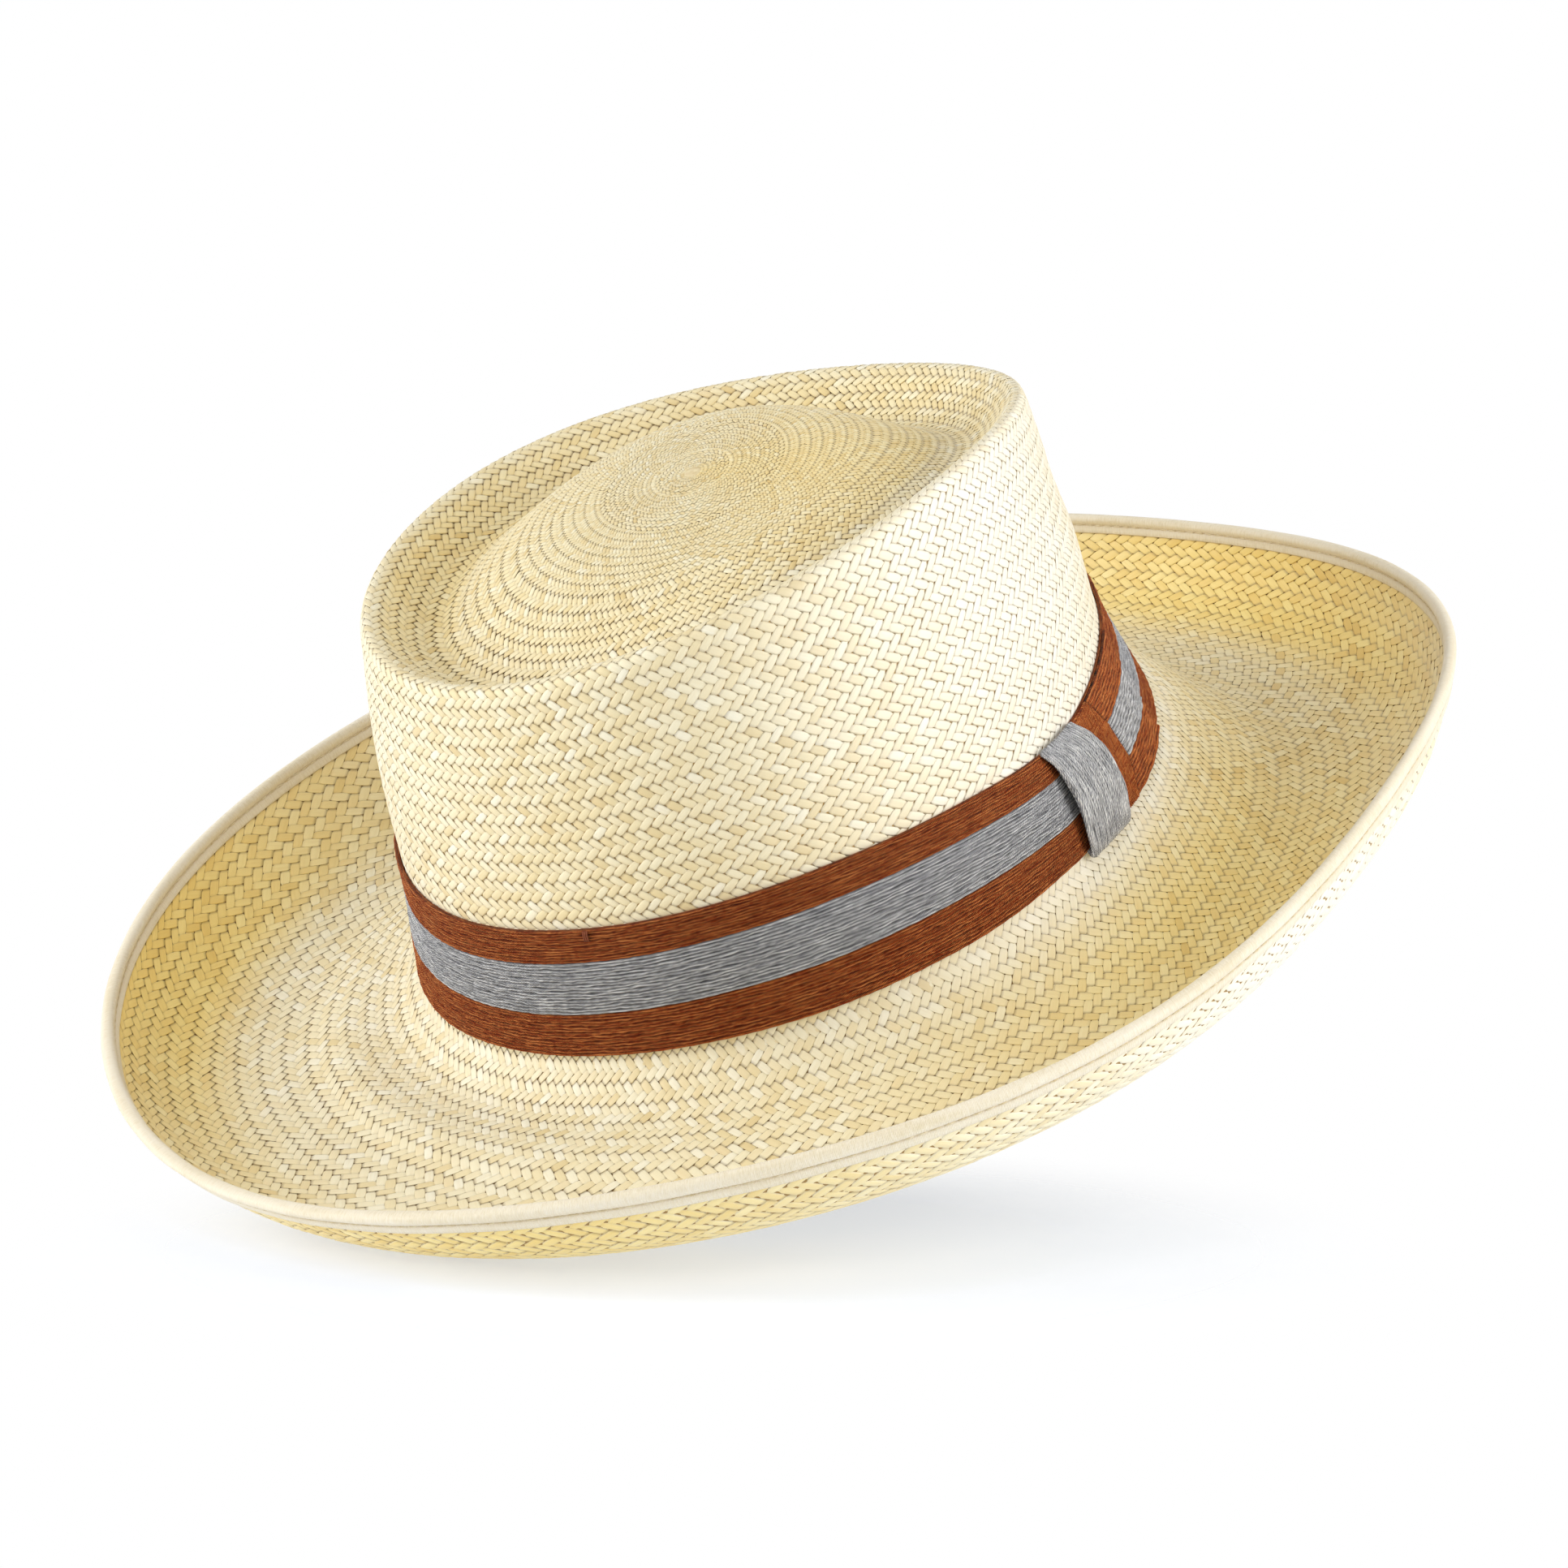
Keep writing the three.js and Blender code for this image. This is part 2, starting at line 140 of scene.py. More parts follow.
def running_length(points):
    """Length along a line of points, from 0."""
    steps = np.linalg.norm(np.diff(points, axis=0), axis=1)
    return np.concatenate([[0], np.cumsum(steps)])


def catmull(points, steps):
    padded = np.vstack([2 * points[0] - points[1], points, 2 * points[-1] - points[-2]])
    u = np.arange(steps)[:, None] / steps
    spans = []
    for i in range(1, len(padded) - 2):
        before, start, end, after = padded[i - 1:i + 3]
        spans.append(0.5 * (2 * start + (end - before) * u
                            + (2 * before - 5 * start + 4 * end - after) * u ** 2
                            + (3 * start - before - 3 * end + after) * u ** 3))
    return np.vstack(spans + [points[-1:]])


# ------------------------------------------------------------------ the blocked shape
def place(radius, height, brim, curl, angle):
    """Nominal radius, height over the crown base, weights and angle -> row frame, metres.

    brim goes from 0 on the crown to 1 on the brim, curl from 0 at the trough to 1 at the rim.
    """
    radius, height, brim, curl, angle = np.broadcast_arrays(
        *[np.asarray(value, float) for value in (radius, height, brim, curl, angle)])
    oval = np.where(radius < 90,
                    TIP_OVAL + (BASE_OVAL - TIP_OVAL) * ease(60, 90, radius),
                    BASE_OVAL + (RIM_OVAL - BASE_OVAL) * ease(90, 166, radius))
    crown_form = (1 - 0.0109 * np.cos(4 * angle)) * (1 - 0.0212 * np.sin(3 * angle))
    crown_form = 1 + (crown_form - 1) * ease(0, 60, radius)
    outer = ease(96, 160, radius)
    form = crown_form + (1 + waves(RIM_FORM, angle) - crown_form) * outer
    lean = sum(bell(np.radians(degrees_from(direction, angle)), spread)
               * sum(depth * bell(height - level, reach) for depth, level, reach in folds)
               for direction, spread, folds in WALL_LEANS)
    radius = radius + lean * ease(60, 84, radius) * (1 - ease(95, 99, radius)) * (1 - brim)
    x = radius / np.sqrt(oval) * np.cos(angle) * form + 2.845 * outer
    y = radius * np.sqrt(oval) * np.sin(angle) * form + 0.203 * outer
    z = height + (waves(RIDGE_RISE, angle) * np.clip(height / CROWN_HEIGHT, 0, 1.2)
                  * ease(25, 72, radius) * (1 - brim))
    z = z + (waves(BASE_RISE, angle) * np.clip(1 - np.maximum(height, 0) / 60, 0, 1)
             * (1 - brim))
    z = z - REST_SLOPE * y * brim + waves(RIM_RISE, angle) * curl
    return np.stack([x + SHIFT_X, y * TILT_COS - z * TILT_SIN + SHIFT_Y,
                     y * TILT_SIN + z * TILT_COS + LIFT], -1) * 1e-3


def curl_curve(share):
    """Share of the way up the curl -> radius, height and their slopes."""
    share = np.asarray(share, float)
    radius = ((1 - share) ** 2 * TROUGH_OUTER + 2 * share * (1 - share) * CURL_RADIUS
              + share * share * RIM_RADIUS)
    height = TROUGH_Z + (RIM_Z - TROUGH_Z) * share * share
    radius_slope = (2 * (1 - share) * (CURL_RADIUS - TROUGH_OUTER)
                    + 2 * share * (RIM_RADIUS - CURL_RADIUS))
    return radius, height, radius_slope, 2 * share * (RIM_Z - TROUGH_Z)


CURL_SHARE = np.linspace(0.3, 1.06, 2000)
CURL_LENGTH = running_length(np.stack(curl_curve(CURL_SHARE)[:2], -1))
RIM_LENGTH = np.interp(1.0, CURL_SHARE, CURL_LENGTH)


def edge(back, out):
    """Distance back from the rim and out of the upper face -> place()'s first four values."""
    back, out = np.broadcast_arrays(np.asarray(back, float), np.asarray(out, float))
    share = np.interp(RIM_LENGTH - back, CURL_LENGTH, CURL_SHARE)
    radius, height, radius_slope, height_slope = curl_curve(share)
    slope = np.hypot(radius_slope, height_slope)
    return (radius - height_slope / slope * out, height + radius_slope / slope * out,
            np.ones_like(share), share * share)


def line_points():
    """Stations of the outer face from tip to rim: radius, height, brim, curl."""
    points = [(radius, height, 0, 0) for radius, height in CROWN]
    for share in BRIM_STEPS:
        points.append((BASE_RADIUS + (TROUGH_INNER - BASE_RADIUS) * share,
                       BASE_Z + (TROUGH_Z - BASE_Z) * (1 - (1 - share) ** 1.7),
                       ease(0, .75, share), 0))
    points.append((0.5 * (TROUGH_INNER + TROUGH_OUTER), TROUGH_Z, 1, 0))
    points.append((TROUGH_OUTER, TROUGH_Z, 1, 0))
    for share in CURL_STEPS:
        radius, height = curl_curve(share)[:2]
        points.append((radius, height, 1, share * share))
    return np.array(points, float)


LINE = catmull(line_points(), LINE_STEPS)
LINE[:, 2] = np.clip(LINE[:, 2], 0, 1)
ARC = running_length(LINE[:, :2])
LINE_RUN = unit(np.gradient(LINE[:, :2], ARC, axis=0))
RIDGE_ARC = float(ARC[RIDGE_STATION * LINE_STEPS])

ON_WALL = (ARC > RIDGE_ARC) & (LINE[:, 0] < 97.5)
WALL_Z, WALL_RADIUS, WALL_ARC = (
    column[ON_WALL][::-1] for column in (LINE[:, 1], LINE[:, 0], ARC))


def on_line(arc, out):
    """Arc position and offset out of the hat -> place()'s first four values."""
    radius, height, brim, curl = (np.interp(arc, ARC, LINE[:, k]) for k in range(4))
    return (radius - np.interp(arc, ARC, LINE_RUN[:, 1]) * out,
            height + np.interp(arc, ARC, LINE_RUN[:, 0]) * out, brim, curl)


def wall_radius(height):
    return np.interp(height, WALL_Z, WALL_RADIUS)


def wall_arc(height):
    return float(np.interp(height, WALL_Z, WALL_ARC))


def wall_place(height, out, angle):
    """A point standing off the crown's wall, in metres."""
    height = np.asarray(height, float)
    return place(wall_radius(height) + out, height, 0, 0, angle)


def crown_arc(radius):
    """Arc position at a radius of the crown's top."""
    top = (LINE[:, 1] > 80) & (ARC < RIDGE_ARC)
    return float(np.interp(radius, LINE[top, 0], ARC[top]))


WHOLE_DEGREES = np.arange(-180, 180, 1.0)


def smooth_edge(heights):
    spectrum = np.fft.rfft(np.interp(WHOLE_DEGREES, RIBBON_DEGREES, heights))
    spectrum *= bell(np.arange(len(spectrum)), 26.0)
    return np.fft.irfft(spectrum, len(WHOLE_DEGREES))


BOTTOM_EDGE, LOWER_EDGE, UPPER_EDGE, TOP_EDGE = map(
    smooth_edge, (RIBBON_BOTTOM, RIBBON_LOWER, RIBBON_UPPER, RIBBON_TOP))


def edge_height(heights, angle):
    return np.interp(degrees_from(0, angle), WHOLE_DEGREES, heights, period=360)


# arc positions that the weave and its tones are set by
ROSETTE_ARC, TIP_ARC, DENSE_ARC = crown_arc(9.5), crown_arc(23), crown_arc(46)
GUTTER_ARC = crown_arc(62)
JOIN_ARC = wall_arc(19.5)                   # crown and brim weaves meet under the ribbon
FOOT_ARC = wall_arc(4)
TROUGH_ARC = float(np.interp(TROUGH_INNER, LINE[-12 * LINE_STEPS:, 0], ARC[-12 * LINE_STEPS:]))
STRAW_END = float(ARC[-1]) - 2.4


# ------------------------------------------------------------------ mesh helpers
def add_to_scene(name, data):
    ob = bpy.data.objects.new(name, data)
    bpy.context.scene.collection.objects.link(ob)
    return ob


def make_mesh(name, verts, quads):
    mesh = bpy.data.meshes.new(name)
    verts = np.ascontiguousarray(verts, np.float32).reshape(-1, 3)
    quads = np.ascontiguousarray(quads, np.int32).reshape(-1, 4)
    count = len(quads)
    mesh.vertices.add(len(verts))
    mesh.vertices.foreach_set("co", verts.ravel())
    mesh.loops.add(quads.size)
    mesh.loops.foreach_set("vertex_index", quads.ravel())
    mesh.polygons.add(count)
    mesh.polygons.foreach_set("loop_start", np.arange(0, quads.size, 4, dtype=np.int32))
    mesh.polygons.foreach_set("loop_total", np.full(count, 4, np.int32))
    mesh.polygons.foreach_set("use_smooth", np.full(count, True, bool))
    mesh.update(calc_edges=True)
    return add_to_scene(name, mesh)


def add_uv(ob, name, uv):
    layer = ob.data.uv_layers.new(name=name)
    layer.data.foreach_set("uv", np.ascontiguousarray(uv, np.float32).ravel())


def add_attributes(ob, attributes):
    for name, values in attributes.items():
        layer = ob.data.attributes.new(name, "FLOAT", "POINT")
        layer.data.foreach_set("value", np.ascontiguousarray(values, np.float32).ravel())


def settle(ob, frame_node, material):
    ob.data.materials.append(material)
    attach(ob, "root")
    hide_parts(frame_node)


def faces_inward(verts, quads):
    verts = np.asarray(verts, float).reshape(-1, 3)
    first, second, third, fourth = (verts[quads[:, i]] - verts.mean(0) for i in range(4))
    volume = (np.einsum("ij,ij->i", first, np.cross(second, third)).sum()
              + np.einsum("ij,ij->i", first, np.cross(third, fourth)).sum())
    return not volume > 0


def grid_corners(rows, columns):
    """Row and column of the four corners of every cell of a grid."""
    cells = np.meshgrid(np.arange(rows), np.arange(columns), indexing="ij")
    row, column = (cell.ravel() for cell in cells)
    return (np.stack([row, row + 1, row + 1, row], -1),
            np.stack([column, column, column + 1, column + 1], -1))


def repeat_quads(quads, copies, stride):
    return (quads[None] + (np.arange(copies) * stride)[:, None, None]).reshape(-1, 4)


def ring_piece(name, points, folds=8, attributes=None):
    """points[station, section, 3], closed both ways. mm_uv in mm, OFBake folded in rows."""
    stations, sections = points.shape[:2]
    along, across = grid_corners(stations, sections)
    quads = along % stations * sections + across % sections
    if faces_inward(points, quads):
        quads, along, across = quads[:, ::-1], along[:, ::-1], across[:, ::-1]
    ob = make_mesh(name, points, quads)
    girth_steps = np.linalg.norm(points - np.roll(points, -1, 1), axis=2).mean(0) * 1e3
    girth = np.concatenate([[0], np.cumsum(girth_steps)])
    step = np.linalg.norm(points - np.roll(points, -1, 0), axis=2).mean() * 1e3
    across_mm = girth[across]
    add_uv(ob, "mm_uv", np.stack([along * step, across_mm], -1))
    row = np.floor(along.min(1, keepdims=True) / stations * folds).clip(0, folds - 1)
    add_uv(ob, "OFBake", np.stack([along / stations * folds - row,
                                   (row + 0.04 + 0.92 * across_mm / girth[-1]) / folds], -1))
    add_attributes(ob, attributes or {})
    return ob


def sheet_piece(name, outer, inner, groove=None):
    """A closed thick sheet between two grids [u, v, 3] of the same size."""
    rows, columns = outer.shape[:2]
    count = rows * columns
    verts = np.concatenate([outer.reshape(-1, 3), inner.reshape(-1, 3)])
    row, column = grid_corners(rows - 1, columns - 1)
    top = row * columns + column

    def strip(border):
        return np.stack([border[1:], border[1:] + count, border[:-1] + count, border[:-1]], -1)

    row_starts, columns_run = np.arange(rows) * columns, np.arange(columns)
    quads = np.concatenate([
        top, top[:, ::-1] + count,
        strip(row_starts), strip((rows - 1) * columns + columns_run),
        strip((row_starts + columns - 1)[::-1]), strip(columns_run[::-1])])
    if faces_inward(verts, quads):
        quads = quads[:, ::-1]
    ob = make_mesh(name, verts, quads)
    grid = np.meshgrid(np.arange(rows) / (rows - 1), np.arange(columns) / (columns - 1),
                       indexing="ij")
    loops = quads.ravel()
    u, v = (np.tile(axis.ravel(), 2)[loops] for axis in grid)
    length = np.linalg.norm(np.diff(outer, axis=0), axis=2).sum(0).mean() * 1e3
    width = np.linalg.norm(np.diff(outer, axis=1), axis=2).sum(1).mean() * 1e3
    add_uv(ob, "mm_uv", np.stack([u * length, v * width], -1))
    inside = (loops >= count).astype(float)
    add_uv(ob, "OFBake", np.stack([0.01 + u * 0.98, 0.01 + (v * 0.98 + inside) * 0.49], -1))
    if groove is not None:
        add_attributes(ob, {"groove": np.tile(groove.ravel(), 2)})
    return ob


def thread_tubes(name, centre, lifted, radius, sides=6):
    """Short closed tubes along centre[thread, station, 3]; lifted points lie above them."""
    count, stations = centre.shape[:2]
    normal = unit(lifted - centre)
    sideways = np.cross(normal, unit(np.gradient(centre, axis=1)))
    turn = circle(sides)[:, None]
    points = centre[:, :, None] + radius[:, None, None] * (
        np.cos(turn) * sideways[:, :, None] + np.sin(turn) * normal[:, :, None])
    points = points.reshape(count, stations * sides, 3)
    along, around = grid_corners(stations - 1, sides)
    body = (along * sides + around % sides)[:, [0, 3, 2, 1]]
    cap = np.array([[0, 1, 2, 3], [0, 3, 4, 5]])
    quads = np.concatenate([body, cap[:, ::-1], cap + (stations - 1) * sides])
    if faces_inward(points[0], quads):
        quads = quads[:, ::-1]
    return make_mesh(name, points, repeat_quads(quads, count, stations * sides))


# ------------------------------------------------------------------ materials
def linear(colour):
    """Hex sRGB -> linear RGBA; a tuple is already linear."""
    if not isinstance(colour, str):
        return colour
    channels = [int(colour[i:i + 2], 16) / 255 for i in (1, 3, 5)]
    return (*[c / 12.92 if c <= 0.04045 else ((c + 0.055) / 1.055) ** 2.4
              for c in channels], 1)


class Nodes:
    """The node tree of a material or world, with short calls for the nodes used here."""

    def __init__(self, owner, main="Principled BSDF"):
        owner.use_nodes = True
        self.owner, self.tree = owner, owner.node_tree
        self.main = self.tree.nodes[main]

    def feed(self, socket, value):
        if isinstance(value, bpy.types.NodeSocket):
            self.tree.links.new(value, socket)
        elif value is not None:
            socket.default_value = linear(value)

    def set_main(self, **values):
        for name, value in values.items():
            self.feed(self.main.inputs[name.replace("_", " ")], value)

    def node(self, kind, inputs=None, **settings):
        made = self.tree.nodes.new(kind)
        for name, value in settings.items():
            setattr(made, name, value)
        for key, value in (inputs or {}).items():
            self.feed(made.inputs[key], value)
        return made

    def math(self, operation, first, second=None, clamp=False):
        return self.node("ShaderNodeMath", {0: first, 1: second},
                         operation=operation, use_clamp=clamp).outputs[0]

    def over(self, value, start, gain, clamp_start=False, clamp=True):
        """(value - start) * gain"""
        rest = self.math("SUBTRACT", value, start, clamp_start)
        return self.math("MULTIPLY", rest, gain, clamp)

    def vector_math(self, operation, first, second):
        return self.node("ShaderNodeVectorMath", {0: first, 1: tuple(second)},
                         operation=operation)

    def mix(self, factor, first, second, blend="MIX"):
        return self.node("ShaderNodeMix", {0: factor, 6: first, 7: second},
                         data_type="RGBA", blend_type=blend).outputs[2]

    def mix_shader(self, factor, first, second):
        return self.node("ShaderNodeMixShader", {0: factor, 1: first, 2: second}).outputs[0]

    def mapping(self, vector, **inputs):
        return self.node("ShaderNodeMapping", {"Vector": vector, **inputs}).outputs[0]

    def uv(self, **inputs):
        source = self.node("ShaderNodeUVMap", uv_map="mm_uv")
        return self.mapping(source.outputs[0], **inputs)

    def noise(self, vector, scale=1.0, detail=2, roughness=0.5):
        return self.node("ShaderNodeTexNoise", {
            "Vector": vector, "Scale": scale, "Detail": detail,
            "Roughness": roughness}).outputs["Fac"]

    def grain(self, along, across, scale=1.0, detail=2, roughness=0.5):
        """Noise on the millimetre UVs, stretched by its scale along and across."""
        return self.noise(self.uv(Scale=(along, across, 1)), scale, detail, roughness)

    def ramp(self, factor, *stops):
        made = self.node("ShaderNodeValToRGB", {0: factor})
        elements = made.color_ramp.elements
        while len(elements) < len(stops):
            elements.new(0.5)
        for k, (position, colour) in enumerate(stops):
            elements[k].position = position
            elements[k].color = linear(colour)
        return made.outputs[0]

    def attribute(self, name):
        return self.node("ShaderNodeAttribute", attribute_name=name).outputs["Fac"]

    def roughness(self, value, spread, base):
        scaled = self.math("MULTIPLY", value, spread)
        self.set_main(Roughness=self.math("ADD", scaled, base))

    def bump(self, height, strength, distance):
        made = self.node("ShaderNodeBump", {
            "Height": height, "Strength": strength, "Distance": distance})
        self.set_main(Normal=made.outputs[0])

    def output(self, shader):
        end = next(n for n in self.tree.nodes if n.type.startswith("OUTPUT"))
        self.tree.links.new(shader, end.inputs["Surface"])


def new_material(name):
    return Nodes(bpy.data.materials.new(name))


def straw_material():
    straw = new_material("straw")
    tint, dip = straw.attribute("tint"), straw.attribute("dip")
    base = straw.ramp(tint, (0.0, "#E2CC96"), (0.25, "#ECDBAC"), (0.55, "#F2E5BE"),
                      (0.85, "#F5ECCC"), (1.0, "#F8F2DA"))
    fibre = straw.grain(along=0.12, across=3.2, detail=3, roughness=0.6)
    base = straw.mix(straw.over(fibre, start=0.45, gain=0.7), base, "#DCC084")
    blotch = straw.grain(along=0.05, across=0.2)
    base = straw.mix(straw.over(blotch, start=0.52, gain=0.9, clamp_start=True),
                     base, "#EACB94")
    position = straw.node("ShaderNodeNewGeometry").outputs["Position"]
    patch = straw.noise(straw.mapping(position, Scale=(14, 14, 14)))
    base = straw.mix(straw.over(patch, start=0.45, gain=0.5, clamp_start=True),
                     base, "#EEDBA8")
    # painted shade: straws are darkened where they dive under their neighbours
    shadow = straw.math("MULTIPLY", straw.math("POWER", dip, 1.5),
                        straw.attribute("deep"), clamp=True)
    base = straw.mix(shadow, base, "#63431A")
    # painted warm shade: the straw is darkened towards gold where it is painted as shaded
    warm_shaded = straw.mix(1.0, base, (1.08, 0.925, 0.45, 1), blend="MULTIPLY")
    base = straw.mix(straw.attribute("gold"), base, warm_shaded)
    # painted light: the straw is whitened towards #FAF6EB where it is painted as lit
    painted_lit = straw.math("MULTIPLY", straw.attribute("pale"), 0.75, clamp=True)
    straw.set_main(Base_Color=straw.mix(painted_lit, base, "#FAF6EB"), Specular_IOR_Level=0.45,
                   Sheen_Weight=0.12, Sheen_Roughness=0.4)
    straw.roughness(fibre, spread=0.25, base=0.36)
    fine = straw.grain(along=0.25, across=7.0, detail=3, roughness=0.6)
    straw.bump(fine, strength=0.35, distance=0.00008)
    return straw.owner


def yarn_material(name, deep, dark, mid, light, glint):
    yarn = new_material(name)
    soft = yarn.grain(along=0.55, across=1.9, scale=1.6, detail=3, roughness=0.65)
    streak = yarn.grain(along=0.10, across=2.3, scale=1.3, roughness=0.6)
    # the twist of the yarns: short slanted plies
    twist = yarn.node("ShaderNodeTexWave", {
        "Vector": yarn.uv(Rotation=(0, 0, math.radians(68))), "Scale": 1.0,
        "Distortion": 1.2, "Detail": 2.0, "Detail Scale": 1.4},
        wave_type="BANDS", bands_direction="X")
    # shares of the three patterns, then contrast about the middle
    blend = yarn.math("ADD", yarn.math("MULTIPLY", soft, 0.40),
                      yarn.math("MULTIPLY", streak, 0.44))
    blend = yarn.math("ADD", blend, yarn.math("MULTIPLY", twist.outputs["Fac"], 0.16))
    blend = yarn.math("ADD", yarn.over(blend, start=0.5, gain=3.8, clamp=False),
                      0.66, clamp=True)
    # the ramp's top stop is a painted glint on the yarn
    base = yarn.ramp(blend, (0.0, dark), (0.36, mid), (0.72, light), (0.97, glint))
    # painted shade in the grooves between the yarns, broken up by a coarse pattern
    groove = yarn.math("POWER", yarn.attribute("groove"), 0.9)
    groove = yarn.math("MULTIPLY", groove, 0.92, clamp=True)
    breaks = yarn.over(yarn.grain(along=0.30, across=0.5), start=0.10, gain=3.0)
    base = yarn.mix(yarn.math("MULTIPLY", groove, breaks), base, deep)
    yarn.set_main(Base_Color=base, Specular_IOR_Level=0.16,
                  Sheen_Weight=0.02, Sheen_Roughness=0.4)
    yarn.roughness(soft, spread=0.25, base=0.55)
    yarn.bump(blend, strength=0.9, distance=0.0003)
    return yarn.owner


def binding_material():
    cloth = new_material("binding_grosgrain")
    fine = cloth.grain(along=2.5, across=0.5)
    streak = cloth.grain(along=0.03, across=0.3)
    blend = cloth.math("ADD", cloth.math("MULTIPLY", fine, 0.5),
                       cloth.math("MULTIPLY", streak, 0.5))
    base = cloth.ramp(blend, (0.25, "#DFCFA8"), (0.5, "#EFE3C8"), (0.75, "#F6EEDB"))
    # painted shade in the binding's grooves
    groove = cloth.math("MULTIPLY", cloth.attribute("groove"), 0.6, clamp=True)
    cloth.set_main(Base_Color=cloth.mix(groove, base, "#B99A63"), Sheen_Weight=0.25)
    ribs = cloth.node("ShaderNodeTexWave", {
        "Vector": cloth.uv(), "Scale": 0.85, "Distortion": 0.4},
        wave_type="BANDS", bands_direction="X")
    cloth.roughness(fine, spread=0.2, base=0.55)
    cloth.bump(ribs.outputs["Fac"], strength=0.5, distance=0.00012)
    return cloth.owner


def fine_material(name, dark, light, roughness, metallic=0.0, scale=600.0):
    """Two tones of fine noise on object coordinates."""
    fine = new_material(name)
    coords = fine.node("ShaderNodeTexCoord").outputs["Object"]
    grain = fine.noise(coords, scale=scale, detail=3, roughness=0.6)
    fine.set_main(Base_Color=fine.ramp(grain, (0.3, dark), (0.7, light)), Metallic=metallic)
    fine.roughness(grain, spread=0.25, base=roughness - 0.12)
    fine.bump(grain, strength=0.3, distance=0.00008)
    return fine.owner


def leather_material():
    leather = new_material("sweatband_leather")
    pores = leather.node("ShaderNodeTexVoronoi", {"Vector": leather.uv(), "Scale": 1.1},
                         feature="DISTANCE_TO_EDGE").outputs["Distance"]
    cloud = leather.grain(along=0.05, across=0.08, detail=3, roughness=0.6)
    base = leather.ramp(cloud, (0.3, "#9A7146"), (0.55, "#B0875A"), (0.8, "#C29B6C"))
    # cracks lie within 0.12 of the cell borders
    cracks = leather.over(0.12, start=pores, gain=3.0, clamp_start=True)
    leather.set_main(Base_Color=leather.mix(cracks, base, "#7C5632"))
    leather.roughness(cloud, spread=0.2, base=0.4)
    leather.bump(pores, strength=0.35, distance=0.00015)
    return leather.owner


def reed_material():
    reed = new_material("reed_tape")
    grain = reed.grain(along=1.5, across=1.5, detail=3, roughness=0.6)
    reed.set_main(Base_Color=reed.ramp(grain, (0.3, "#3A2418"), (0.7, "#5C3B26")),
                  Sheen_Weight=0.2)
    reed.roughness(grain, spread=0.25, base=0.58)
    reed.bump(grain, strength=0.4, distance=0.0001)
    return reed.owner


def shade_sheet_material():
    shade_sheet = new_material("straw_shade")
    grain = shade_sheet.grain(along=0.4, across=0.4, roughness=0.6)
    # painted shade: the gaps read from light tan to dark brown by the shade value
    base = shade_sheet.mix(shade_sheet.attribute("shade"), "#B8965A", "#5E4119")
    shade_sheet.set_main(Base_Color=shade_sheet.mix(shade_sheet.math("MULTIPLY", grain, 0.5), base, "#8A6A34"))
    shade_sheet.roughness(grain, spread=0.2, base=0.65)
    shade_sheet.bump(grain, strength=0.3, distance=0.0001)
    return shade_sheet.owner


STRAW = straw_material()
# first colour: painted shade in the yarns' grooves; last colour: a painted glint
RUST = yarn_material("ribbon_rust", deep="#1A0500", dark="#561B02", mid="#8C3104",
                     light="#B04A0E", glint="#E0904F")
GREY = yarn_material("ribbon_grey", deep="#171513", dark="#626164", mid="#96979D",
                     light="#C2C3C8", glint="#FAF9F8")
BINDING = binding_material()
THREAD = fine_material("thread_cream", dark="#C9B487", light="#E8DCBD", roughness=0.7)
RUST_THREAD = fine_material("thread_rust", dark="#6B3219", light="#9A5230", roughness=0.75)
STEEL = fine_material("wire_steel", dark="#7E8084", light="#A9ABAF", roughness=0.4,
                      metallic=1.0, scale=900.0)
LEATHER = leather_material()
REED = reed_material()
SHADE_SHEET = shade_sheet_material()
KNOT = fine_material("straw_knot", dark="#D9C08A", light="#F0E2BC", roughness=0.5)


# ------------------------------------------------------------------ the weave
# a strand's section: share of half its width across it, share of half its thickness out
STRAND_ACROSS = np.array([-1.0, -0.60, 0.60, 1.0, 0.62, -0.62])
STRAND_OUT = np.array([0.22, 1.0, 1.0, 0.22, -1.0, -1.0])
# what is added to them to square a flatter strand's shoulders
FLAT_ACROSS = np.array([0, -.12, .12, 0, 0, 0])
FLAT_OUT = np.array([.28, 0, 0, .28, 0, 0])


def level_table(spacing):
    """(arc, level spacing) stations -> arc positions and the lattice level at each."""
    arcs = np.linspace(0, ARC[-1], 6000)
    step = np.interp(arcs, *zip(*spacing))
    levels = np.cumsum(np.diff(arcs) / (0.5 * (step[1:] + step[:-1])))
    return arcs, np.concatenate([[0], levels])


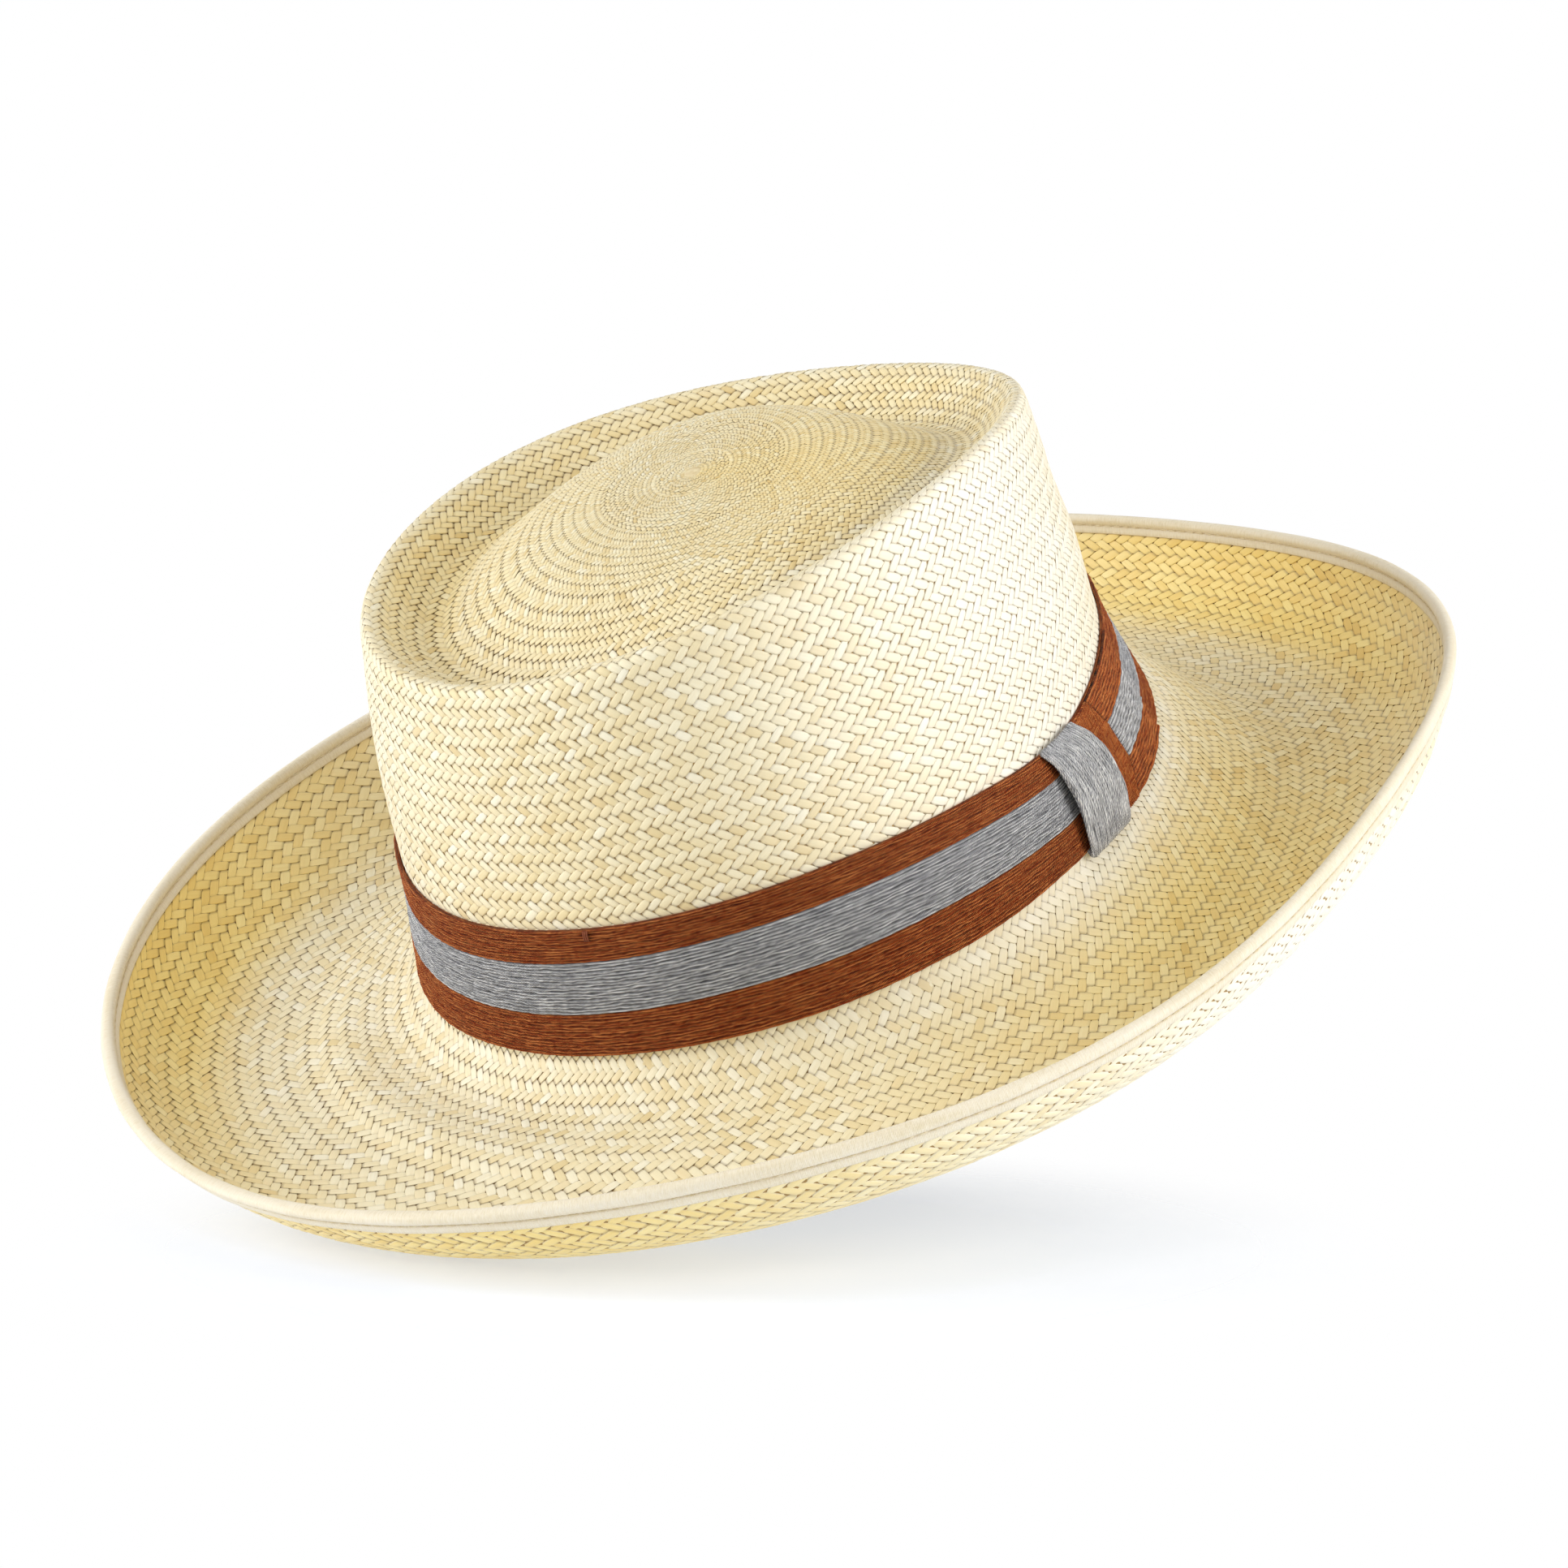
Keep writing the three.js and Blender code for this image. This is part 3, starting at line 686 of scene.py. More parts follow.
def straw_tones(arc, angle, under):
    """How strongly the dips are painted in shade, and where warm shade and light are painted on
    the straw.
    """
    def around(direction, spread):
        return bell(degrees_from(direction, angle), spread)

    def past(origin, start, end):
        return ease(origin + start, origin + end, arc)

    on_curl = past(TROUGH_ARC, 6, 26)
    # painted warm shade: on the curl at the back right and the left, on the brim floor on the
    # bow side, in the gutter and over the tip
    gold = (on_curl * np.clip(around(60, 60) + around(-160, 36), 0, 1)
            + 0.85 * past(TROUGH_ARC, -44, -16) * around(0, 46) * (1 - on_curl))
    # painted light on the curl's lip on the bow side, which also takes the warm shade away there
    lit_lip = past(TROUGH_ARC, 28, 40) * around(-6, 34)        # on the bow side
    gold = gold * (1 - 0.95 * lit_lip)
    gold = gold + (0.45 * past(GUTTER_ARC, -4, 4) * (1 - past(RIDGE_ARC, -6, 0))
                   * np.clip(around(-165, 40) + .5 * around(90, 60), 0, 1))
    gold = gold + (1 - past(GUTTER_ARC, -6, 0)) * (0.12 + 0.35 * around(10, 55))
    on_wall = past(RIDGE_ARC, -4, 6) * (1 - past(JOIN_ARC, 12, 30))
    # painted light: on the wall towards the bow side and at the left, on the curl at the bow
    # side, and on its lip
    pale = (0.95 * on_wall * around(0, 42) + 0.35 * on_wall * around(-150, 34)
            + 0.8 * on_curl * around(-15, 42) + lit_lip)
    # strength of the dips' painted shade: less where light is painted, more on the crown's top
    # and the brim
    deep = (1 - 0.7 * np.clip(pale, 0, 1)) * np.clip(
        0.6 + 0.4 * (1 - past(RIDGE_ARC, -8, 2)) + 0.15 * past(JOIN_ARC, -6, 2), 0, 1)
    # the under side has painted light and warm shade of its own
    pale = np.where(under & (arc > TROUGH_ARC - 10), 0.8 * around(-15, 26), pale)
    under_warm_shade = ((0.42 + 0.45 * around(-88, 26)) * (1 - around(-10, 34))
                  * past(TROUGH_ARC, -10, 5))
    gold = np.where(under, under_warm_shade, gold)
    return {"deep": deep, "gold": np.clip(gold, 0, 1), "pale": np.clip(pale, 0, 1)}


def weave(prefix, count, start, end, table, *, groups=1, float_height, thick=0.30,
          depth=-0.36, seed, nip, flat=0.0, tint_mean=0.56, packed_end_shade=0.36):
    """Two families of straws, plaited over two and under two, between two arc positions."""
    arcs, levels = table
    section_across = STRAND_ACROSS + flat * FLAT_ACROSS
    section_out = STRAND_OUT + flat * FLAT_OUT
    first, last = (2 * round(float(np.interp(arc, arcs, levels)) / 2) for arc in (start, end))
    rounds = np.arange(first, last, 2)
    steps = np.array([0.0, 0.38, 1.62])
    level = np.append((rounds[:, None] + steps).ravel(), last)
    phase = np.append(np.tile(steps, len(rounds)), 0.0)
    side = np.append(np.repeat(np.where((rounds // 2) % 2 == 0, 1.0, -1.0), 3), 1.0)
    hump = 1 - np.abs(phase - 1) ** 4
    stations = len(level)
    rng = np.random.default_rng(seed)

    # body faces, then two quads on each end
    along, corner = grid_corners(stations - 1, 6)
    along = np.concatenate([along, np.repeat([[0], [0], [stations - 1], [stations - 1]], 4, 1)])
    corner = np.concatenate([corner, [[0, 1, 2, 3], [0, 3, 4, 5], [3, 2, 1, 0], [5, 4, 3, 0]]])
    strand_quads = along * 6 + corner % 6

    for family, turn in (("cw", 1.0), ("ccw", -1.0)):
        tint = np.clip(rng.normal(tint_mean, 0.2, count), 0, 1)
        width = rng.normal(1.0, 0.035, count)
        drift = rng.normal(0, 0.05, (count, stations // 6 + 2))
        drift_at = np.linspace(0, stations, drift.shape[1])
        for group in range(groups):
            strands = np.arange(group * count // groups, (group + 1) * count // groups)
            made = len(strands)
            # across the lattice, nipped where the straw dives
            across = ((section_across * 0.5) * width[strands][:, None, None]
                      * (1.12 - nip * (1 - hump))[:, None])
            sway = np.stack([np.interp(np.arange(stations), drift_at, drift[k])
                             for k in strands])[:, :, None]
            column = (turn * (level[:, None] - across) + 2 * strands[:, None, None]
                      + (0 if turn > 0 else 1) + sway * 0.6)
            angle = column * PI / count
            arc = np.interp(level[:, None] + across, levels, arcs)
            arc = np.clip(arc, max(start - 1.5, 0.2), min(end + 1.0, ARC[-1]))
            out = ((turn * side * hump)[:, None] * float_height + depth
                   + section_out * thick / 2)
            out = out + 0.03 * rng.normal(0, 1, made)[:, None, None]
            points = place(*on_line(arc, out), angle)

            quads, face_along, face_corner = strand_quads, along, corner
            if faces_inward(points[0], quads):
                quads, face_along, face_corner = (
                    grid[:, ::-1] for grid in (quads, along, corner))
            ob = make_mesh(f"{prefix}_{family}_{group + 1}", points,
                           repeat_quads(quads, made, stations * 6))

            # length along the strand for the fibre pattern, and a strip layout for baking
            centre = points[:, :, [0, 3]].mean(2)
            run = np.cumsum(np.linalg.norm(np.diff(centre, axis=1), axis=2), 1)
            run = np.concatenate([np.zeros((made, 1)), run], 1) * 1e3
            offset = rng.uniform(0, 400, made)[:, None, None]
            add_uv(ob, "mm_uv", np.stack([
                run[:, face_along] + offset,
                face_corner * 0.6 + (strands * 7.3)[:, None, None]], -1))
            strip = np.arange(made)[:, None, None] + 0.08 + 0.84 * (face_corner / 6)
            add_uv(ob, "OFBake", np.stack([
                run[:, face_along] / run.max() * 0.98 + 0.01, strip / made], -1))

            mottle = np.repeat(rng.normal(0, 0.09, (made, stations // 3 + 1)), 3, 1)
            tints = np.clip(tint[strands][:, None] + mottle[:, :stations], 0, 1)
            # painted shade at the float ends: every second round is shaded as an open gap, those
            # between less, as if packed tight
            end_shade = np.where(np.round(level / 2).astype(int) % 2 == 0, 1.0, packed_end_shade)
            # more painted shade at the float ends on the brim just below the ribbon, at the
            # front right
            near = (bell(degrees_from(-30, angle), 50) * ease(JOIN_ARC - 2, JOIN_ARC + 2, arc)
                    * (1 - ease(JOIN_ARC + 14, JOIN_ARC + 22, arc)))
            end_shade = np.maximum(end_shade[:, None], near)
            rim = np.abs(section_across) > 0.9
            # painted shade mask: deepest in the dips, a little along every strand's edge
            dip = (np.clip(1 - hump, 0, 1)[:, None] * end_shade * np.where(rim, 1.0, 0.85)
                   + np.where(rim, 0.05, 0.0))
            add_attributes(ob, {"tint": np.repeat(tints[:, :, None], 6, 2),
                                **straw_tones(arc, angle, section_out < 0),
                                "dip": np.clip(dip, 0, 1)})
            settle(ob, "straw_body", STRAW)


def straw_shade_sheet():
    """A thin shell under the weave that closes the gaps between straws, coloured as the painted
    shade seen through them.
    """
    angle = circle(216)
    half = 170
    arcs = np.linspace(2.0, STRAW_END, half)
    arc = np.concatenate([arcs, arcs[::-1]])
    out = np.repeat([-0.33, -0.41], half)
    # how dark the painted shade is: lighter on the wall and below the ribbon, lighter still
    # under the brim
    shade = 1 - (ease(RIDGE_ARC - 6, RIDGE_ARC + 4, arc)
                 * (1 - ease(JOIN_ARC - 14, JOIN_ARC - 2, arc)))
    shade = shade * (1 - 0.25 * ease(JOIN_ARC, JOIN_ARC + 12, arc))
    shade = shade * np.where((out < -0.37) & (arc > TROUGH_ARC - 10), 0.35, 1.0)
    ob = ring_piece("straw_shade_sheet", place(*on_line(arc, out), angle[:, None]), folds=4,
                    attributes={"shade": np.tile(shade, (len(angle), 1))})
    settle(ob, "straw_body", SHADE_SHEET)


def straw_knot():
    """The starting knot at the tip's centre."""
    sides = 12
    profile = ((3.0, -0.75), (3.1, -0.45), (2.4, -0.2), (1.2, -0.02))   # radius, height
    rings = len(profile)
    button = np.stack([place(radius, 96.45 + rise, 0, 0, circle(sides))
                       for radius, rise in profile], 1)
    verts = np.concatenate([button.reshape(-1, 3), place(0.0, 96.5, 0, 0, 0.0)[None],
                            place(0.0, 95.6, 0, 0, 0.0)[None]])
    top = sides * rings
    row, column = grid_corners(sides, rings - 1)
    quads = (row % sides * rings + column).tolist()
    for i in range(0, sides, 2):
        first, second, third = ((i + k) % sides * rings for k in range(3))
        quads.append([first + rings - 1, second + rings - 1, third + rings - 1, top])
        quads.append([third, second, first, top + 1])
    quads = np.array(quads)
    if faces_inward(verts, quads):
        quads = quads[:, ::-1]
    settle(make_mesh("straw_knot", verts, quads), "straw_body", KNOT)


# arc position, spacing of the lattice levels
CROWN_LEVELS = level_table([
    (0, .50), (ROSETTE_ARC, .54), (TIP_ARC, .62), (TIP_ARC + 8, .74), (DENSE_ARC - 3, .78),
    (DENSE_ARC - .5, 1.25), (DENSE_ARC + 3, 1.25), (DENSE_ARC + 6, .98),
    (DENSE_ARC + 20, 1.08), (RIDGE_ARC, 1.12), (RIDGE_ARC + 14, 1.14), (400, 1.14)])
BRIM_LEVELS = level_table([
    (0, 1.3), (JOIN_ARC, 1.3), (FOOT_ARC, 1.34), (FOOT_ARC + 14, 1.46),
    (FOOT_ARC + 36, 1.38), (FOOT_ARC + 60, 1.3), (400, 1.3)])

weave("straw_crown", 172, TIP_ARC, JOIN_ARC, CROWN_LEVELS, groups=3, float_height=.18,
      seed=3, nip=.38)
weave("straw_tip", 86, ROSETTE_ARC, TIP_ARC + .4, CROWN_LEVELS, float_height=.14,
      thick=.26, depth=-0.35, seed=5, nip=.44, packed_end_shade=0.75)
weave("straw_rosette", 36, 1.6, ROSETTE_ARC + .4, CROWN_LEVELS, float_height=.12,
      thick=.22, depth=-0.33, seed=7, nip=.46, packed_end_shade=0.75)
weave("straw_brim", 240, JOIN_ARC + .3, STRAW_END, BRIM_LEVELS, groups=3, float_height=.13,
      seed=9, nip=.40, flat=1.6, tint_mean=0.70)
straw_shade_sheet()
straw_knot()

# ------------------------------------------------------------------ brim edge
BRIM_THICK = 1.0            # straw inside the binding
STITCH_BACK = 2.97          # stitch row, back from the rim
# binding on the upper face: back from the rim, out of the face, rib share, groove (share of
# painted shade)
BINDING_TOP = np.array([
    (5.3, 0.10, 0, 1), (5.38, 0.36, .5, .7), (5.1, 0.56, 1, 0), (4.2, 0.62, 1, 0),
    (3.35, 0.56, 1, .2), (2.95, 0.30, .3, 1), (2.55, 0.62, 1, .2), (2.0, 1.02, 1, 0),
    (1.35, 1.14, 1, 0), (0.65, 0.92, 1, 0), (0.15, 0.35, 1, 0)])
# its rim and its inner face
BINDING_RIM = [(-0.05, -BRIM_THICK / 2)]
BINDING_INSIDE = [(2.9, -BRIM_THICK - 0.05), (2.2, -BRIM_THICK - 0.30),
                  (1.2, -BRIM_THICK - 0.25), (0.75, -BRIM_THICK / 2), (1.2, 0.25),
                  (2.2, 0.30), (2.9, 0.05)]


def edge_ring(name, section, stations, ripple, groove, frame_node, material):
    back, out = np.array(section, float).T
    points = place(*edge(back, out + ripple), circle(stations)[:, None])
    groove = np.broadcast_to(groove, (stations, len(section)))
    ob = ring_piece(name, points, folds=16, attributes={"groove": groove})
    settle(ob, frame_node, material)


def edge_binding():
    stations = 2600
    back, out, rib, groove = BINDING_TOP.T
    under = np.stack([back, -BRIM_THICK - out], -1)[::-1]
    section = np.concatenate([BINDING_TOP[:, :2], BINDING_RIM, under, BINDING_INSIDE])
    rest = np.zeros(len(BINDING_INSIDE))
    side = np.ones(len(back))

    def mirrored(top, sign):
        return np.concatenate([top, [0], sign * top[::-1], rest])

    ribs = np.where(np.arange(stations) % 2 == 0, 0.045, -0.045)[:, None] * mirrored(rib, -1)
    wobble = 0.05 * np.sin(37 * circle(stations))[:, None] * mirrored(side, -1)
    edge_ring("edge_binding", section, stations, ribs + wobble, mirrored(groove, 1),
              "brim_binding", BINDING)


def edge_wire():
    radius = .5
    section = [(1.55 + radius * math.cos(turn), -BRIM_THICK / 2 + radius * math.sin(turn))
               for turn in circle(8)]
    edge_ring("edge_wire", section, 480, 0, 0, "brim_wire", STEEL)


def stitch_row(name, frame_node, locate, count, length_share, width, lift):
    """Short raised stitches; locate(angle, lift) gives metres."""
    run = np.linspace(-0.5, 0.5, 5)
    angle = 2 * PI * (np.arange(count)[:, None] + 0.5 + run * length_share) / count
    hump = (1 - np.abs(2 * run) ** 3)[None] * lift
    radius = np.array([0.35, 0.9, 1.0, 0.9, 0.35]) * width * 1e-3
    ob = thread_tubes(name, locate(angle, hump), locate(angle, hump + 0.2), radius)
    settle(ob, frame_node, THREAD)


edge_binding()
edge_wire()
stitch_row("edge_stitches_top", "binding_thread_top",
           lambda angle, lift: place(*edge(STITCH_BACK, 0.33 + lift), angle),
           count=330, length_share=0.78, width=0.22, lift=0.12)
stitch_row("edge_stitches_under", "binding_thread_under",
           lambda angle, lift: place(*edge(STITCH_BACK, -BRIM_THICK - 0.33 - lift), angle),
           count=330, length_share=0.78, width=0.22, lift=0.12)

# ------------------------------------------------------------------ striped hat band
# one yarn: share of its width, height, groove (share of painted shade)
YARN_PROFILE = ((0.03, .38, 1.), (0.25, .86, .25), (0.60, 1.0, 0.), (0.88, .74, .5))
BAND_BASE = 0.22            # stand-off of the ribbon from the wall


def ripples(angle, sizes, turns, phases):
    return sum(size * np.sin(turn * angle + phase)
               for size, turn, phase in zip(sizes, turns, phases))


def band_stripe(name, low_edge, high_edge, material, seed, yarns):
    """A stripe of yarns lying lengthwise between two edges."""
    rng = np.random.default_rng(seed)
    stations = 1370
    angle = circle(stations)
    low, high = edge_height(low_edge, angle), edge_height(high_edge, angle)
    # share of the stripe's height, stand-off, groove (share of painted shade), yarn (-1 for the
    # back face)
    section = [((k + share) / yarns, BAND_BASE + rise, groove, k)
               for k in range(yarns) for share, rise, groove in YARN_PROFILE]
    section.append((1, BAND_BASE + .4, .8, yarns - 1))
    section += [(share, BAND_BASE - .02, 0, -1)
                for share in (1 - .12 / yarns, .5, .12 / yarns)]
    share, out, groove, owner = np.array(section).T
    wave = np.zeros((stations, len(share)))
    shift = np.zeros((stations, len(share)))
    grooves = np.tile(groove, (stations, 1))
    for k in range(yarns):
        own = owner == k
        turns = rng.integers(130, 190), rng.integers(60, 100), rng.integers(16, 36)
        phases = rng.uniform(0, 2 * PI, 6)
        swell = ripples(angle, (0.05, 0.03, 0.03), turns, phases[:3])[:, None]
        wave[:, own] = swell
        shift[:, own] = ripples(angle, (0.03, 0.06, 0.10), turns, phases[3:])[:, None]
        # less painted shade where a yarn swells out
        grooves[:, own] = np.clip(grooves[:, own] - swell * 1.6, 0, 1)
    inner = ease(0, 1.5 / yarns, share) * ease(0, 1.5 / yarns, 1 - share)
    height = low[:, None] + (high - low)[:, None] * share + shift * inner
    # drawn flat beneath the bow
    degrees = degrees_from(0, angle)
    tuck = 1 - 0.5 * ease(-13, -9, degrees) * (1 - ease(24, 27, degrees))
    points = wall_place(height, (out + wave) * tuck[:, None], angle[:, None])
    ob = ring_piece(name, points, folds=12, attributes={"groove": grooves})
    settle(ob, "hat_band", material)


def tack(name, degrees):
    """Three upright stitches over the ribbon's top edge."""
    centre = math.radians(degrees)
    angle = centre + (np.arange(3)[:, None] - 1) * 0.006
    height = edge_height(TOP_EDGE, centre) - 2.6 + np.linspace(0, 2.4, 5)[None]
    hump = (1 - np.linspace(-1, 1, 5) ** 4)[None] * 0.3
    ob = thread_tubes(name, wall_place(height, 1.25 + hump, angle),
                      wall_place(height, 1.45 + hump, angle), np.full(5, 0.00022))
    settle(ob, "band_" + name, RUST_THREAD)


STRIPE_GAP = .01            # drawn off each side of a stripe border
band_stripe("band_stripe_lower", BOTTOM_EDGE, LOWER_EDGE - STRIPE_GAP, RUST, 11, 14)
band_stripe("band_stripe_middle", LOWER_EDGE + STRIPE_GAP, UPPER_EDGE - STRIPE_GAP,
            GREY, 12, 17)
band_stripe("band_stripe_upper", UPPER_EDGE + STRIPE_GAP, TOP_EDGE, RUST, 13, 12)
for tack_name, tack_degrees in (("tack_front", -90), ("tack_side", 180), ("tack_back", 90)):
    tack(tack_name, tack_degrees)


# ------------------------------------------------------------------ bow: panel and keeper
def bow_panel():
    """Folded ribbon end: striped lengthwise, with a mitred end of upright yarns."""
    start, end = -8.0, 25.4                         # degrees
    mm_per_degree, yarn_width, seam_width = 1.72, 0.9, 0.4
    rows, yarns = 300, 27
    columns = yarns * 6 + 1
    u, v = np.meshgrid(np.linspace(0, 1, rows), np.linspace(0, 1, columns), indexing="ij")
    degrees = start + (end - start) * u
    angle = np.radians(degrees)
    bottom = edge_height(BOTTOM_EDGE, angle) - 0.1
    top = edge_height(TOP_EDGE, angle) - 0.2
    height = bottom + (top - bottom) * v
    low, high = 8 / yarns, 18 / yarns               # the grey stripe's share of the height
    mitre = np.where(v > high, 7.1 - (v - high) / (1 - high) * 3.6,
                     np.where(v < low, 8.5 - (low - v) / low * 2.5,
                              8.5 - (v - low) / (high - low) * 1.4))
    in_end = degrees < mitre
    grey = (~in_end) & (v > low - 1e-6) & (v < high - 1e-6)
    lengthwise, upright = v * yarns, (degrees - start) * mm_per_degree / yarn_width
    rng = np.random.default_rng(31)

    def meander(along, yarn, rate):
        rates = rng.uniform(.5, 1.6, 24)
        phases = rng.uniform(0, 6.3, 24)
        index = np.floor(yarn).astype(int) % 24
        return np.sin(along * rates[index] * rate + phases[index])

    ridge = np.where(in_end, np.abs(np.sin(PI * (upright + .12 * np.sin(height * .9)))),
                     np.abs(np.sin(PI * (lengthwise + .06 * np.sin(degrees * .8)))))
    wave = np.where(in_end, meander(height, upright, 1.2),
                    meander(degrees, lengthwise, 1.6)) * 0.08
    puff = 0.35 * (1 - (2 * v - 1) ** 4) * ease(0, .12, u) * (1 - .75 * ease(.9, 1, u))
    seam = bell((degrees - mitre) * mm_per_degree, seam_width) * 0.25
    outer = wall_place(height, 1.25 + puff + 0.36 * ridge ** .7 + wave - seam, angle)
    inner = wall_place(height, 0.86 + puff * .45, angle)
    # painted shade in the grooves between the yarns and along the mitre's seam
    groove = np.clip(1 - ridge * 1.5, 0, 1) - wave * 2 + seam * 2
    ob = sheet_piece("bow_fold_panel", outer, inner, groove)
    settle(ob, "bow_panel", RUST)
    ob.data.materials.append(GREY)
    loops = np.zeros(len(ob.data.loops), np.int32)
    ob.data.loops.foreach_get("vertex_index", loops)
    first_vertex = loops.reshape(-1, 4).min(1)
    material_index = np.zeros(len(first_vertex), np.int32)
    on_top = first_vertex < rows * columns
    material_index[on_top] = grey.ravel()[first_vertex[on_top]].astype(np.int32)
    ob.data.polygons.foreach_set("material_index", material_index)


# the loop's path from its lower return to its upper: stand-off, share of the ribbon's height
KEEPER_PATH = np.array([
    (0.95, 0.015), (1.5, -0.03), (2.2, -0.035), (2.8, 0.01), (3.15, 0.09), (3.4, 0.22),
    (3.5, 0.38), (3.5, .55), (3.4, .71), (3.15, .85), (2.8, .94), (2.3, 1.0), (1.7, 1.03),
    (1.05, 1.01)])
# its two sides: share of the ribbon's height, degrees
KEEPER_START = [(0, -11.5), (.04, -11.3), (.29, -10.8), (.47, -10.5), (.69, -11.0),
                (.87, -11.8), (1.0, -13.2)]
KEEPER_END = [(0, 0.0), (.07, .4), (.17, 1.2), (.32, 1.6), (.49, 1.6), (.68, .9), (.83, -.4),
              (.94, -2.0), (1.04, -3.6)]


def bow_keeper():
    """The grey loop that gathers the bow, its yarns running up and over."""
    path = catmull(KEEPER_PATH, 6)
    stand_off, share = path.T
    yarns, thick = 22, 0.6
    u = np.linspace(0, 1, yarns * 6 + 1)[:, None]
    along = np.linspace(0, 1, len(path))
    kernel = np.array([1, 2, 3, 4, 3, 2, 1.0])
    kernel /= kernel.sum()
    side_start, side_end = (
        np.convolve(np.pad(np.interp(share, *zip(*side)), 3, mode="edge"), kernel, "valid")
        for side in (KEEPER_START, KEEPER_END))
    angle = np.radians(side_start + (side_end - side_start) * u)
    bottom, top = edge_height(BOTTOM_EDGE, angle), edge_height(TOP_EDGE, angle)
    phases = np.random.default_rng(41).uniform(0, 6.3, (yarns + 1, 3))
    yarn = np.minimum((u[:, 0] * yarns).astype(int), yarns)
    phase = phases[yarn][:, :, None]
    wobble = 0.10 * np.sin(along * 9 + phase[:, 0]) + 0.06 * np.sin(along * 23 + phase[:, 1])
    ridge = np.abs(np.sin(PI * (u * yarns + wobble))) ** .6
    ripple = np.sin(along * 40 + phase[:, 2])
    roll = -0.5 * ease(0.92, 1, np.abs(2 * u - 1))
    out = 0.34 * ridge + 0.06 * ripple + roll
    # the loop's normal, with the ribbon about 26 mm high here
    run = unit(np.gradient(np.column_stack([stand_off, share * 26]), axis=0))
    normal_out, normal_up = run[:, 1], -run[:, 0]
    height = bottom + (top - bottom) * share
    outer = wall_place(height + out * normal_up, stand_off + out * normal_out, angle)
    inner = wall_place(height - thick * normal_up, stand_off - thick * normal_out, angle)
    # painted shade in the grooves between the keeper's yarns
    groove = np.clip(1 - ridge * 1.4, 0, 1) - ripple * .15
    ob = sheet_piece("bow_keeper_loop", outer, inner, groove)
    # the yarns run along v, so the pattern's millimetre UVs are swapped
    layer = ob.data.uv_layers["mm_uv"]
    uv = np.zeros(len(ob.data.loops) * 2, np.float32)
    layer.data.foreach_get("uv", uv)
    layer.data.foreach_set("uv", np.ascontiguousarray(uv.reshape(-1, 2)[:, ::-1]).ravel())
    settle(ob, "bow_keeper", GREY)


bow_panel()
bow_keeper()

# ------------------------------------------------------------------ inside the crown
LINING_INSET = STRAW_THICK + 0.45
BACK_BOW_Z = 11
# sweatband section: height, offset from the lining line
SWEATBAND = np.array([
    (1.2, -.55), (2.2, -1.0), (4, -1.15), (8, -1.0), (14, -1.25), (20, -1.35), (26, -1.2),
    (30, -1.0), (31.0, -.6), (30.6, -.2), (26, -.3), (20, -.45), (14, -.4), (8, -.2),
    (4, -.15), (2.4, -.1), (1.4, -.2)])
# section of the bow's wrap: degrees across, mm out
WRAP_SECTION = np.array([(-.75, .0), (-.6, .28), (0, .36), (.6, .28), (.75, 0), (.6, -.2),
                         (0, -.25), (-.6, -.2)])


def sweatband():
    angle = circle(720)[:, None]
    height, offset = SWEATBAND.T
    wave = 0.18 * np.sin(9 * angle + .6) * ease(6, 28, height)
    radius = wall_radius(np.maximum(height, 3)) - LINING_INSET + offset - np.abs(wave)
    ob = ring_piece("sweatband_leather_strip", place(radius, height, 0, 0, angle))
    settle(ob, "sweatband", LEATHER)


def reed_cord():
    angle = circle(1440)[:, None]
    turn = circle(10)
    radius = 0.78 + 0.05 * np.sin(angle * 360 + turn * 2)
    points = place(wall_radius(3.0) - LINING_INSET - 0.95 + radius * np.cos(turn),
                   -0.15 + radius * np.sin(turn), 0, 0, angle)
    settle(ring_piece("sweatband_reed_cord", points, folds=16),
           "sweatband_reed", REED)


def back_bow():
    """Two flat loops as one closed sheet, at the back of the sweatband."""
    u = np.linspace(-1, 1, 49)[:, None]
    v = np.linspace(-1, 1, 17)[None]
    height = BACK_BOW_Z + v * 3.4 * (0.42 + 0.58 * np.abs(u) ** .7)
    puff = (0.5 * np.sqrt(np.clip(1 - v ** 2, 0, 1))
            * (0.35 + 0.9 * np.sin(np.abs(u) * PI) ** .8)
            + 0.12 * np.abs(np.sin(v * 7)) * (1 - np.abs(u)))
    angle = np.radians(90 + u * 5.2)
    ob = sheet_piece("sweatband_back_bow",
                     wall_place(height, -LINING_INSET - 1.75 - puff, angle),
                     wall_place(height, -LINING_INSET - 1.5, angle))
    settle(ob, "sweatband_bow", REED)


def back_bow_wrap():
    turn = circle(24)[:, None]
    degrees, out = WRAP_SECTION.T
    height = BACK_BOW_Z + (2.1 + out) * np.sin(turn)
    offset = -1.75 + (-0.75 - out) * np.cos(turn) * 0.8 - .2
    points = wall_place(height, offset - LINING_INSET, PI / 2 + np.radians(degrees))
    settle(ring_piece("sweatband_back_bow_wrap", points, folds=1),
           "sweatband_bow", REED)


sweatband()
reed_cord()
stitch_row("sweatband_stitches", "sweatband_thread",
           lambda angle, lift: wall_place(3.4, -LINING_INSET - 1.2 - lift, angle),
           count=200, length_share=0.7, width=0.24, lift=0.16)
back_bow()
back_bow_wrap()


# ------------------------------------------------------------------ camera
def tilt(vector):
    """Turns a direction of the hat's own frame into the row frame."""
    x, y, z = vector
    return np.array([x, y * TILT_COS - z * TILT_SIN, y * TILT_SIN + z * TILT_COS])


